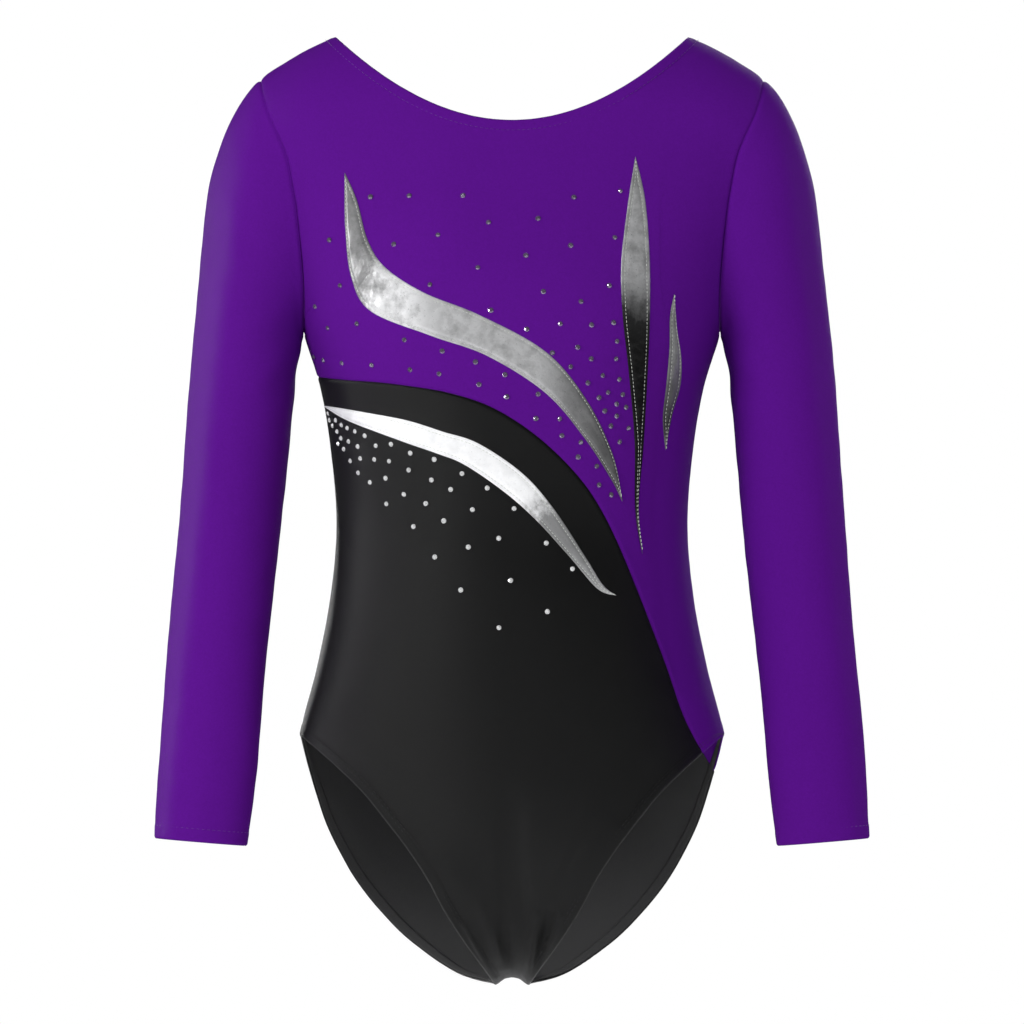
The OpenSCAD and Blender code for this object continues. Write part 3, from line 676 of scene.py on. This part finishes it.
def resample(points, normals, step, wrap=False):
    """Evenly spaced points along a line, with their normals."""
    if wrap:
        points, normals = (np.concatenate([v, v[:1]]) for v in (points, normals))
    run = lengths(points, 0)
    count = max(2, int(run[-1] / step))
    at = np.linspace(0, run[-1], count + 1)[: count if wrap else None]
    out = [np.stack([np.interp(at, run, v[:, k]) for k in range(3)], -1) for v in (points, normals)]
    return out[0], unit(out[1])


def capped_rings(rings, sides, cap):
    """Quads of a stack of rings, closed at both ends by the quads of cap."""
    quads = []
    for r in range(rings - 1):
        for i in range(sides):
            a, b = r * sides + i, r * sides + (i + 1) % sides
            quads.append((a, b, b + sides, a + sides))
    quads += [q[::-1] for q in cap]
    quads += [tuple((rings - 1) * sides + i for i in q) for q in cap]
    return np.array(quads)


def repeated(name, points, quads, each, smooth=True):
    """One mesh of many like solids, each of the given number of points."""
    points = np.concatenate(points)
    first = np.arange(0, len(points), each)[:, None, None]
    return make_mesh(name, points * MM, (quads[None] + first).reshape(-1, 4), smooth=smooth)


def stitches(name, lines, long=2.0, gap=1.0, radius=0.2, sink=0.05):
    """Rows of short threads. lines holds (points, normals, closed) of each row."""
    sides, rings = 6, 5
    centre, size = np.array([-0.5, -0.32, 0, 0.32, 0.5]), np.array([0.25, 0.85, 1, 0.85, 0.25])
    rise = np.array([-0.55, 0.1, 0.45, 0.1, -0.55])
    turn = (np.arange(sides) * 2 * math.pi / sides)[:, None]
    points = []
    for line, normals, closed in lines:
        p, n = resample(line, normals, long + gap, closed)
        way, cross = heading(p, closed), sideways(p, n, closed)
        heart = (p + n * (radius * 0.4 - sink))[:, None] + way[:, None] * (centre * long)[:, None]
        heart = heart + n[:, None] * (rise * radius)[:, None]
        ring = cross[:, None] * np.cos(turn) + n[:, None] * np.sin(turn)
        thread_ring = ring[:, None] * (size * radius)[:, None, None]
        points.append((heart[:, :, None] + thread_ring).reshape(-1, 3))
    quads = capped_rings(rings, sides, [(0, 1, 2, 3), (0, 3, 4, 5)])[:, ::-1]
    return repeated(name, points, quads, sides * rings)


def foil_line(first, second, inset):
    """Two lines on a foil piece, each inset mm inside one of its edges."""
    t = np.linspace(0.03, 0.97, 260)
    a, b = spline(first, t), spline(second, t)
    wide = np.linalg.norm(b - a, axis=-1, keepdims=True)
    share = np.minimum(inset / np.maximum(wide, 1e-6), 0.36)
    rows = (mix(a, b, share), mix(b, a, share))
    return [(skin(FRONT, p, 0.72), normal(FRONT, p[..., 0], p[..., 1]), False) for p in rows]


def foil_piece(name, first, second, ends, seed):
    """Foil patch: rounded edges, a dip under its stitching, puckers beside it and crinkles."""
    t = mix(*ends, steps(220, (0.002, 0.005)))
    v = np.array([0, 0.02, 0.05, 0.09, 0.14, 0.2, 0.27, 0.34, 0.42, 0.5])
    v = np.concatenate([v, 1 - v[-2::-1]])
    a, b = spline(first, t), spline(second, t)
    grid = mix(a[:, None], b[:, None], v[None, :, None])
    base = skin(FRONT, grid)
    wide, run = lengths(base, 1), lengths(base, 0)
    inside = np.minimum(wide, wide[:, -1:] - wide)
    out = 0.18 + 0.5 * ease(inside / 0.7) + 0.35 * ease((inside - 2) / 2.5)
    out -= 0.3 * hill(inside, 2.0, 0.55) * ease((wide[:, -1:] - 5) / 2)
    out += 0.06 * np.sin(run * 2 * math.pi / 3.1) * hill(inside, 2.2, 1.6)
    crinkle = 0.16 * ripple(base, 13, seed) + 0.07 * ripple(base, 5, seed + 1)
    out += crinkle * ease(inside / 2.5)
    share = (np.linspace(0, 1, len(t)) * 1000)[:, None]
    uv = np.stack(np.broadcast_arrays(v[None] * 1000, share), -1)
    return shell(name, skin(FRONT, grid, out), skin(FRONT, grid, 0.03), uv)


# radius, height and turn (in eighths) of a stone's rings: foot, girdle, kite facets, table
STONE_RINGS = [(1.42, 0.0, 0.0), (1.5, 0.22, 0.0), (1.12, 0.72, 0.5), (0.78, 1.08, 0.0)]


def stone_piece(name, places, seed):
    """Flat-backed faceted stones: girdle, eight kite facets, eight star facets and a table."""
    rng = np.random.default_rng(seed)
    eighth = np.arange(8) * math.pi / 4
    points = []
    p = np.array(places)
    for c, up in zip(skin(FRONT, p, 0.12), normal(FRONT, p[:, 0], p[:, 1])):
        up = unit(up + rng.normal(size=3) * 0.05)
        one = unit(np.cross(up, [0, 0, 1.0]))
        two = np.cross(up, one)
        spin, size = rng.uniform(0, 6.3), rng.uniform(0.93, 1.04)
        for radius, high, shift in STONE_RINGS:
            turn = (eighth + spin + shift * math.pi / 4)[:, None]
            ring = one * np.cos(turn) + two * np.sin(turn)
            points.append(c + (ring * radius + up * high) * size)
    quads = capped_rings(4, 8, [(0, 1, 2, 3), (0, 3, 4, 7), (4, 5, 6, 7)])
    return repeated(name, points, quads, 32, smooth=False)


# ---- materials ----


def linear(r, g, b):
    """Linear colour of an 8-bit screen colour."""
    def one(c):
        c = c / 255
        return c / 12.92 if c <= 0.04045 else ((c + 0.055) / 1.055) ** 2.4
    return (one(r), one(g), one(b), 1.0)


class Surface:
    """A node material being built."""

    def __init__(self, name):
        self.material = bpy.data.materials.new(name)
        self.material.use_nodes = True
        self.nodes = self.material.node_tree.nodes
        self.links = self.material.node_tree.links
        self.shader = self.nodes["Principled BSDF"]

    def set(self, **values):
        for name, value in values.items():
            self.shader.inputs[name.replace("_", " ")].default_value = value
        return self

    def node(self, kind, **inputs):
        n = self.nodes.new(kind)
        for name, value in inputs.items():
            n.inputs[name.replace("_", " ")].default_value = value
        return n

    def link(self, a, b):
        self.links.new(a, b)

    def math(self, operation, a, b=0.0):
        n = self.nodes.new("ShaderNodeMath")
        n.operation = operation
        for socket, value in zip(n.inputs, (a, b)):
            if isinstance(value, (int, float)):
                socket.default_value = value
            else:
                self.link(value, socket)
        return n.outputs[0]

    def add(self, a, b, k):
        """a + b * k"""
        return self.math("ADD", a, self.math("MULTIPLY", b, k))

    def cloth_axes(self):
        """Distances across and along the cloth, in metres."""
        uv, split = self.node("ShaderNodeUVMap"), self.node("ShaderNodeSeparateXYZ")
        uv.uv_map = "cloth"
        self.link(uv.outputs[0], split.inputs[0])
        return split.outputs[0], split.outputs[1]

    def pattern(self, kind, **inputs):
        """Pattern fixed to the piece's own coordinates."""
        n = self.node("ShaderNodeTex" + kind, **inputs)
        self.link(self.node("ShaderNodeTexCoord").outputs["Object"], n.inputs["Vector"])
        return n.outputs["Fac"]

    def noise(self, scale, detail=3.0, rough=0.5):
        return self.pattern("Noise", Scale=scale, Detail=detail, Roughness=rough)

    def wave(self, value, period):
        return self.math("SINE", self.math("MULTIPLY", value, 2 * math.pi / period))

    def ramp(self, value, stops, target=None):
        r = self.nodes.new("ShaderNodeValToRGB")
        self.link(value, r.inputs[0])
        items = r.color_ramp.elements
        while len(items) < len(stops):
            items.new(0.5)
        for item, (at, colour) in zip(items, stops):
            item.position, item.color = at, colour
        if target:
            self.link(r.outputs[0], self.shader.inputs[target])
        return r.outputs[0]

    def bump(self, height, distance, strength=1.0):
        b = self.node("ShaderNodeBump", Strength=strength, Distance=distance)
        self.link(height, b.inputs["Height"])
        self.link(b.outputs[0], self.shader.inputs["Normal"])


def shade(colour, k):
    return (*(c * k for c in colour[:3]), 1.0)


def knit(name, colour, wale=0.00038, course=0.0003, depth=0.00003, spread=0.1, grain=900.0, **finish):
    """Fine two-way stretch knit: columns of small V loops, cloudy colour and soft sheen."""
    s = Surface(name).set(**finish)
    u, v = s.cloth_axes()
    lean = s.math("ABSOLUTE", s.wave(u, wale * 2))
    row = s.wave(s.add(v, lean, course * 0.6), course)
    loops = s.add(s.math("MULTIPLY", s.wave(u, wale), 0.6), row, 0.5)
    s.bump(s.add(loops, s.noise(grain * 3, 2.0), 1.2), depth)
    cloud, speck = s.noise(9.0, 2.0), s.noise(grain, 3.0, 0.7)
    tone = s.add(s.add(s.math("MULTIPLY", cloud, 0.35), speck, 0.65), loops, 0.03)
    s.ramp(tone, [(0.3, shade(colour, 1 - spread)), (0.7, shade(colour, 1 + spread))], "Base Color")
    s.link(s.add(finish["Roughness"] - 0.125, speck, 0.25), s.shader.inputs["Roughness"])
    return s.material


purple_knit = knit(
    "purple_knit_satin", linear(87, 19, 134), Roughness=0.5, Specular_IOR_Level=0.01,
    Sheen_Weight=0.012, Sheen_Roughness=0.35, Sheen_Tint=(0.4, 0.1, 0.8, 1),
)
black_knit = knit(
    "black_knit_grain", linear(13, 13, 13), spread=0.3, grain=700.0, Roughness=0.4,
    Specular_IOR_Level=0.3, Sheen_Weight=0.015, Sheen_Roughness=0.3,
)
# painted light: the inside gets a brighter purple than the outside, to make up for the shade that
# falls inside the garment
purple_inside_painted_light = knit(
    "purple_knit_inside_painted_light", linear(122, 36, 186), depth=0.00006, Roughness=0.8,
    Specular_IOR_Level=0.03,
)
# the matte grey back of the black knit, painted lighter than it is to make up for the shade that
# falls inside the garment
black_inside_painted_light = knit(
    "black_knit_inside_painted_light", linear(70, 70, 70), spread=0.12, depth=0.00009, Roughness=0.85,
    Specular_IOR_Level=0.1, Sheen_Weight=0.1, Sheen_Roughness=0.6,
)
lining_knit = knit(
    "lining_knit", linear(205, 202, 196), wale=0.0009, course=0.0009, Roughness=0.8,
    Specular_IOR_Level=0.2, Sheen_Weight=0.1,
)


def ribbed(name, colour, period, depth=0.00012, **finish):
    """Woven ribbon or elastic: fine ribs across, a weave along, and slight soiling."""
    s = Surface(name).set(**finish)
    u, v = s.cloth_axes()
    height = s.add(s.wave(v, period), s.wave(u, period * 0.6), 0.5)
    s.bump(height, depth)
    tone = s.add(s.noise(60.0, 3.0), height, 0.12)
    s.ramp(tone, [(0.3, shade(colour, 0.82)), (0.7, shade(colour, 1.08))], "Base Color")
    return s.material


elastic_mat = ribbed("ribbed_elastic", linear(226, 226, 222), 0.0011, Roughness=0.7)
dark_elastic = ribbed("ribbed_elastic_black", linear(34, 34, 35), 0.0011, Roughness=0.7)
label_mat = ribbed("woven_label", linear(236, 235, 230), 0.0005, depth=0.00005, Roughness=0.6)


def thread(name, colour, **finish):
    """Twisted sewing thread."""
    s = Surface(name).set(**finish)
    twist = s.pattern("Wave", Scale=1300.0, Distortion=2.0, Detail=1.0)
    s.bump(twist, 0.00005)
    s.ramp(twist, [(0.0, shade(colour, 0.75)), (1.0, shade(colour, 1.15))], "Base Color")
    return s.material


purple_thread = thread("purple_thread", linear(84, 24, 130), Roughness=0.45, Sheen_Weight=0.1)
black_thread = thread("black_thread", linear(24, 24, 25), Roughness=0.5)
silver_thread = thread("silver_thread", linear(222, 226, 218), Roughness=0.4, Sheen_Weight=0.2)
overlock_purple = thread("overlock_purple", linear(92, 30, 140), Roughness=0.6)
overlock_black = thread("overlock_black", linear(38, 38, 40), Roughness=0.6)


def painted_reflection_foil_mat(name, stops, metal=0.5, mottled=1.0):
    """Foil printed on knit: a metal skin with fine cracks, and a painted reflection: a grey tone that
    varies along it stands in for the bright and dark studio mirrored in the foil.
    """
    s = Surface(name).set(Metallic=metal, Roughness=0.3, Specular_IOR_Level=0.5)
    mottle, fine = s.noise(150.0, 5.0, 0.65), s.noise(900.0, 3.0, 0.6)
    along = s.add(s.math("SUBTRACT", s.cloth_axes()[1], 0.08), mottle, 0.16)
    # painted reflection: the stops set the foil's light and dark along its length, in place of what
    # it would mirror
    tone = s.ramp(along, [(at, (g, g, g * 1.01, 1)) for at, g in stops])
    low = 1 - 0.4 * mottled
    blotch = s.ramp(mottle, [(0.3, (low, low, low, 1)), (0.6, (1, 1, 1, 1))])
    blend = s.node("ShaderNodeMix")
    blend.data_type, blend.blend_type = "RGBA", "MULTIPLY"
    blend.inputs[0].default_value = 1.0
    s.link(tone, blend.inputs[6])
    s.link(blotch, blend.inputs[7])
    s.link(blend.outputs[2], s.shader.inputs["Base Color"])
    s.bump(s.add(mottle, fine, 0.18), 0.0007, 0.35 + 0.25 * mottled)
    s.link(s.add(0.2, fine, 0.22), s.shader.inputs["Roughness"])
    return s.material


# painted reflection: grey at the top-left end, a painted highlight a third of the way along, darker
# towards the lower right tip
chest_foil = painted_reflection_foil_mat(
    "foil_chest",
    [(0.0, 0.3), (0.2, 0.26), (0.28, 0.3), (0.34, 0.8), (0.42, 0.95), (0.47, 0.66), (0.66, 0.56),
     (0.73, 0.26), (0.84, 0.15), (0.93, 0.12), (1.0, 0.22)],
    0.35,
)
# painted reflection: white over the left part of the waist swoosh, dark grey to the right, paler at
# the tip
waist_foil = painted_reflection_foil_mat(
    "foil_waist",
    [(0.0, 1.0), (0.08, 0.88), (0.14, 1.0), (0.6, 1.0), (0.64, 0.7), (0.67, 0.26), (0.76, 0.24),
     (0.88, 0.36), (0.94, 0.5), (1.0, 0.85)],
    0.12,
    0.3,
)
# painted reflection: light grey upper part of the leaf, nearly black lower part where it would mirror
# the dim studio
long_foil = painted_reflection_foil_mat(
    "foil_long_leaf",
    [(0.0, 0.4), (0.22, 0.6), (0.34, 0.6), (0.39, 0.2), (0.43, 0.04), (0.5, 0.015),
     (0.62, 0.01), (0.85, 0.015), (1.0, 0.16)],
)
# painted reflection: paler in the upper part of the small leaf, darker towards its lower tip
small_foil = painted_reflection_foil_mat(
    "foil_small_leaf", [(0.0, 0.36), (0.35, 0.36), (0.62, 0.22), (0.85, 0.08), (1.0, 0.2)]
)


def stone_mat(name, colour, metal):
    """Foil-backed glass: bright facets, a darker rim and tiny inclusions."""
    s = Surface(name)
    s.set(Metallic=metal, Roughness=0.1, Coat_Weight=1.0, Coat_Roughness=0.03)
    speck = s.noise(1400.0, 2.0)
    s.ramp(speck, [(0.35, shade(colour, 0.55)), (0.6, shade(colour, 1.0))], "Base Color")
    s.bump(speck, 0.00002)
    return s.material


stone_lilac = stone_mat("stone_lilac", (0.42, 0.36, 0.5, 1), 0.8)
stone_clear = stone_mat("stone_clear", (0.98, 0.98, 0.98, 1), 0.25)


def paint(piece, *materials):
    for m in materials:
        piece.data.materials.append(m)
    return piece


# ---- camera, light and floor ----

scene = bpy.context.scene
scene.view_settings.view_transform = "Standard"
scene.view_settings.look = "None"

AIM = Vector((0.0, 0.0, -0.2708))
FAR = 12.0
PICTURE_WIDTH = 0.5837
SENSOR = 36.0

lens = bpy.data.cameras.new("camera")
lens.sensor_width = SENSOR
lens.lens = SENSOR * FAR / PICTURE_WIDTH
lens.clip_end = 100.0
camera = bpy.data.objects.new("camera", lens)
camera.location = AIM + Vector((0, -FAR, 0))
camera.rotation_euler = (math.pi / 2, 0, 0)
scene.collection.objects.link(camera)
scene.camera = camera


LAMPS = (  # name, place, size, power and the rays that pass it by
    ("key", (-1.8, -1.7, 0.4), 1.1, 33, "glossy"),
    ("front_fill", (0.5, -3.0, 0.2), 1.6, 24, "glossy"),
    ("shine_left", (-2.4, -0.55, 0.3), 0.7, 30, "diffuse"),
    ("shine_front", (-0.9, -2.6, 1.3), 0.6, 1.2, None),
    ("rim_left", (-1.5, 0.75, -0.1), 0.5, 46, "diffuse"),
    ("side_left", (-2.2, 0.3, 0.1), 1.2, 7, "glossy"),
    ("rim_right", (1.5, 0.9, 0.1), 0.5, 5, None),
    ("back_fill", (0.8, 2.6, 0.7), 1.6, 26, None),
)
for name, place, size, power, missed in LAMPS:
    disk = bpy.data.lights.new(name, "AREA")
    disk.shape, disk.size, disk.energy = "DISK", size, power
    lamp = bpy.data.objects.new(name, disk)
    lamp.location = place
    lamp.rotation_euler = (AIM - Vector(place)).to_track_quat("-Z", "Y").to_euler()
    lamp.visible_glossy, lamp.visible_diffuse = missed != "glossy", missed != "diffuse"
    scene.collection.objects.link(lamp)

# the studio is white to look at, soft as light and dim in reflections
world = bpy.data.worlds.new("studio")
world.use_nodes = True
scene.world = world
wn, wl = world.node_tree.nodes, world.node_tree.links
wn.remove(wn["Background"])
ray = wn.new("ShaderNodeLightPath")


def background(colour, level):
    n = wn.new("ShaderNodeBackground")
    n.inputs[0].default_value, n.inputs[1].default_value = (*colour, 1), level
    return n.outputs[0]


def choose(kind, otherwise, then):
    n = wn.new("ShaderNodeMixShader")
    for socket, source in zip(n.inputs, (ray.outputs[kind], otherwise, then)):
        wl.new(source, socket)
    return n.outputs[0]


COOL = (0.97, 0.985, 1)
lit = choose("Is Glossy Ray", background(COOL, 0.42), background(COOL, 0.06))
seen = choose("Is Camera Ray", lit, background((1, 1, 1), 1.0))
wl.new(seen, wn["World Output"].inputs[0])

FLOOR_DOWN, FLOOR_SIDES, FLOOR_RINGS = 0.64, 96, (0.02, 0.35, 0.7, 1.0, 1.2)
rim = np.linspace(0, 2 * math.pi, FLOOR_SIDES, endpoint=False)
circle = np.stack([np.cos(rim), np.sin(rim), 0 * rim], -1)
floor_points = np.concatenate([r * circle - np.array([0, 0, FLOOR_DOWN]) for r in FLOOR_RINGS])
k = np.arange(FLOOR_SIDES)
after = (k + 1) % FLOOR_SIDES
faces = [list(range(FLOOR_SIDES))]
for ring in range(len(FLOOR_RINGS) - 1):
    o = ring * FLOOR_SIDES
    faces += np.stack([o + k, o + after, o + FLOOR_SIDES + after, o + FLOOR_SIDES + k], -1).tolist()
floor_mesh = bpy.data.meshes.new("floor")
floor_mesh.from_pydata(floor_points.tolist(), [], faces)
floor = bpy.data.objects.new("floor", floor_mesh)
scene.collection.objects.link(floor)
floor_look = Surface("pale_floor").set(Roughness=0.9)
pale = [(at, (grey, grey, grey, 1)) for at, grey in ((0.2, 0.84), (0.8, 0.88))]
floor_look.ramp(floor_look.noise(3.0), pale, "Base Color")
paint(floor, floor_look.material)


# ---- the garment ----


def placed(piece, body, material_slot, *nodes):
    """Attach a piece to the body it rides and hide the CAD nodes it stands for."""
    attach(piece, body)
    if nodes:
        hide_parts(*nodes)
    return piece


HANDS = (("left", 1), ("right", -1))
SIDES = (("front", FRONT), ("back", BACK))

for level, make, slot, looks in (
    ("upper", upper_panel, "purple_knit", (purple_knit, purple_inside_painted_light)),
    ("lower", lower_panel, "black_knit", (black_knit, black_inside_painted_light)),
):
    for word, side in SIDES:
        piece = paint(make(f"{word}_{level}_cloth", side), *looks)
        placed(piece, "torso", slot, f"{word}_{level}_panel")

# hems and elastics round the neck and the legs, inside the cloth
NECK_LINE = neck_loop()
neck_hem = placed(
    paint(band("neck_hem_fold", *NECK_LINE, (0.35, 6.6), (1.35, 2.0), True), purple_knit),
    "torso", "purple_knit", "neck_hem",
)
neck_elastic = placed(
    paint(band("neck_elastic_tape", *NECK_LINE, (1.0, 5.8), (0.95, 1.3), True), elastic_mat),
    "torso", "elastic", "neck_elastic",
)
leg_parts = []
for word, hand in HANDS:
    hem = paint(leg_band(f"{word}_leg_hem_fold", hand, (0.3, 6.6), (1.4, 2.0)), black_inside_painted_light)
    tape = paint(leg_band(f"{word}_leg_elastic_tape", hand, (1.0, 5.8), (1.0, 1.35)), dark_elastic)
    leg_parts += [
        placed(hem, "torso", "black_knit", f"{word}_leg_hem"),
        placed(tape, "torso", "elastic", f"{word}_leg_elastic"),
    ]

# stitching that shows on the outside
SEWING = 2.1, 0.9, 0.17  # length, gap and radius of the stitches at the hems


def moved(points, normals, across, out):
    """A closed line moved across the cloth and out from it."""
    return points + sideways(points, normals, True) * across + normals * out, normals, True


neck_rows = placed(
    paint(stitches("neck_stitching", [moved(*NECK_LINE, 6.4, 0.1)], *SEWING), purple_thread),
    "torso", "seam_thread",
)
for word, hand in HANDS:
    rows = []
    for p, n in map(leg_row, (4.4, 6.2)):
        rows.append((mirrored(p + n * 0.24, hand), mirrored(n, hand), True))
    piece = paint(stitches(f"{word}_leg_stitching", rows, *SEWING), black_thread)
    leg_parts.append(placed(piece, "torso", "seam_thread"))


# overlocked seams inside
def overlock(word, points, normals, wide, depth, material, wrap=False):
    """Overlocked seam inside the cloth, to the given distance on each side of its line."""
    p, n = resample(points, normals, 0.45, wrap)
    return paint(band(f"{word}_overlock", p, n, (-wide, wide), depth, wrap, 0.28, 0.15), material)


def seam(word, *details):
    return placed(overlock(word, *details), "torso", "seam_thread", f"{word}_seam")


for word, side in SIDES:
    line = on_skin(side, slant(side, np.linspace(0.02, 0.96, 300)))
    seam(f"{word}_slant", *line, 2.0, (1.5, 2.3), overlock_black)

turn = (np.arange(240) + 0.5) / 240 * 2 * math.pi
loop = arm_point(0 * turn, turn)
middle = np.array([(SHOULDER + CHEST) / 2, 0, -(ARM_TOP + ARM_BOTTOM) / 2])
loop_out = unit((loop - middle) * np.array([0.1, 1, 1]))
loop_out = unit(loop_out + np.array([0.45, 0, 0]) * np.sin(turn)[:, None] ** 2)
down, across = np.linspace(178, 388, 220), np.linspace(NECK + 8, 138, 80)
BESIDE = np.stack([half_width(down), 0 * down, -down], -1)
ABOVE = np.stack([across, 0 * across, -curve(RIDGE, across)], -1)
ABOVE_OUT = unit(np.array([0.4, 0, 1.0]))
for (word, hand), material in zip(HANDS, (overlock_purple, overlock_black)):
    for place, line, out, thread_used in (
        ("side", BESIDE, np.array([1.0, 0, 0]), material),
        ("shoulder", ABOVE, ABOVE_OUT, overlock_purple),
    ):
        line, out = mirrored(line, hand), np.broadcast_to(mirrored(out, hand), line.shape)
        seam(f"{word}_{place}", line, out, 2.0, (1.6, 2.4), thread_used)
    line, out = mirrored(loop, hand), mirrored(loop_out, hand)
    seam(f"{word}_armhole", line, out, 1.8, (1.9, 2.8), overlock_purple, True)
x = np.linspace(-5, 5, 30)
line = np.stack([x, 0 * x, -curve(KEEL, np.abs(x))], -1)
out = np.broadcast_to([0, 0, -1.0], line.shape)
crotch = seam("crotch", line, out, 1.5, (1.6, 2.3), overlock_black)

# lining of the crotch, narrow in the middle and wider towards its two ends
v, w = np.meshgrid(np.linspace(-1, 1, 81), np.linspace(-1, 1, 21), indexing="ij")
x = w * mix(6, 16, v * v)
down = curve(KEEL, np.abs(x)) - 2.4 - 56 * v * v


def lining_face(out):
    p = np.stack([x, down], -1)
    front, back = skin(FRONT, p, out), skin(BACK, p, out)
    q = np.where((v < 0)[..., None], front, back)
    q[40, :, 1] = 0.0
    return q


pinch = 0.12 * np.sin(w * 40) * hill(np.abs(v), 0.94, 0.05)
lining = shell(
    "crotch_lining_cloth", lining_face(-CLOTH - 2.2 + pinch), lining_face(-CLOTH - 2.9 + pinch),
    np.stack([x, down * np.sign(v)], -1),
)
placed(paint(lining, lining_knit), "torso", "lining_knit", "crotch_lining")

# blank folded label in the back of the neck
u, v = np.meshgrid(np.linspace(-12, 12, 41), np.linspace(0, 14, 25), indexing="ij")
label_y = curve(BACKS, 92) - 7.4 - 0.0016 * u**2 - 0.315 * np.sin(v / 14 * math.pi)
face = np.stack([u, label_y, -94 - v], -1)
lip = 0.3 * hill(v, 13, 1.0)
label = shell(
    "care_label_ribbon", face - np.array([0, 1.0, 0]) * (0.05 + lip)[..., None],
    face + np.array([0, 0.35, 0]), np.stack([u, v], -1),
)
placed(paint(label, label_mat), "torso", "label_ribbon", "care_label")

# sleeves: each is one length of cloth from the armhole to the wrist
turn = np.arange(180) / 180 * 2 * math.pi
WRIST = arm_skin(np.ones(180), turn), arm_normal(np.ones(180), turn)
s, under = np.linspace(0.52, 0.965, 260), np.full(260, math.pi)
UNDERARM = arm_skin(s, under), arm_normal(s, under)


def bending(piece, word, hand, material_slot, *nodes):
    """Cloth between the torso and an arm: bakes its transform into the mesh and hides the CAD nodes
    it stands for.
    """
    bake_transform(piece)
    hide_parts(*nodes)
    return piece


for word, hand in HANDS:
    body = f"{word}_arm"
    cloth = paint(sleeve(f"{word}_sleeve_cloth", hand), purple_knit)
    bending(cloth, word, hand, "purple_knit", f"{word}_sleeve_cap", f"{word}_sleeve")
    wrist = [mirrored(v, hand) for v in WRIST]
    reach = sorted((hand * 0.3, hand * 7.8))
    hem = paint(band(f"{word}_cuff_hem_fold", *wrist, reach, (1.0, 1.7), True), purple_knit)
    placed(hem, body, "purple_knit", f"{word}_cuff_hem")
    row = stitches(f"{word}_cuff_stitching", [moved(*wrist, hand * 7.6, 0.1)], *SEWING)
    placed(paint(row, purple_thread), body, "seam_thread")
    line = [mirrored(v, hand) for v in UNDERARM]
    strip = overlock(f"{word}_underarm", *line, 1.8, (1.4, 2.2), overlock_purple)
    bending(strip, word, hand, "seam_thread", f"{word}_sleeve_seam")

# foil pieces with their topstitching
FOILS = (  # name, its two edges, how much of them, material, seed, flat size and area
    ("chest_swoosh", CHEST_HIGH, CHEST_LOW, (0.004, 0.997), chest_foil, 21, (0.264, 0.026), 0.0041),
    ("waist_swoosh", WAIST_HIGH, WAIST_LOW, (0.012, 0.992), waist_foil, 31, (0.206, 0.015), 0.0022),
    ("long_leaf", LONG_LEFT, LONG_RIGHT, (0.004, 0.996), long_foil, 41, (0.227, 0.0175), 0.002),
    ("small_leaf", SMALL_LEFT, SMALL_RIGHT, (0.006, 0.994), small_foil, 51, (0.09, 0.01), 0.00045),
)
foils = []
for name, first, second, ends, material, seed, flat, area in FOILS:
    piece = paint(foil_piece(f"{name}_foil", first, second, ends, seed), material)
    placed(piece, "torso", "foil", name)
    rows = foil_line(first, second, 1.6 if name == "small_leaf" else 2.0)
    row = paint(stitches(f"{name}_topstitch", rows, 1.5, 0.7, 0.17, 0.12), silver_thread)
    foils.append((piece, placed(row, "torso", "seam_thread"), flat, area))

stones = [
    placed(paint(stone_piece(f"{word}_stones", places, seed), look), "torso", "stone", node)
    for word, places, seed, look, node in (
        ("upper", UPPER_STONES, 61, stone_lilac, "upper_purple_stones"),
        ("lower", LOWER_STONES, 62, stone_lilac, "lower_purple_stones"),
        ("waist", BLACK_STONES, 63, stone_clear, "black_stones"),
    )
]

# ---- what each sheet of cloth was cut to ----

ON_FRONT, ON_BACK = ["front_upper_cloth"], ["back_upper_cloth"]
ON_LOWER = ["front_lower_cloth", "back_lower_cloth"]
for piece, row, flat, area in foils:
    under = ON_LOWER[:1] if piece.name == "waist_swoosh_foil" else ON_FRONT
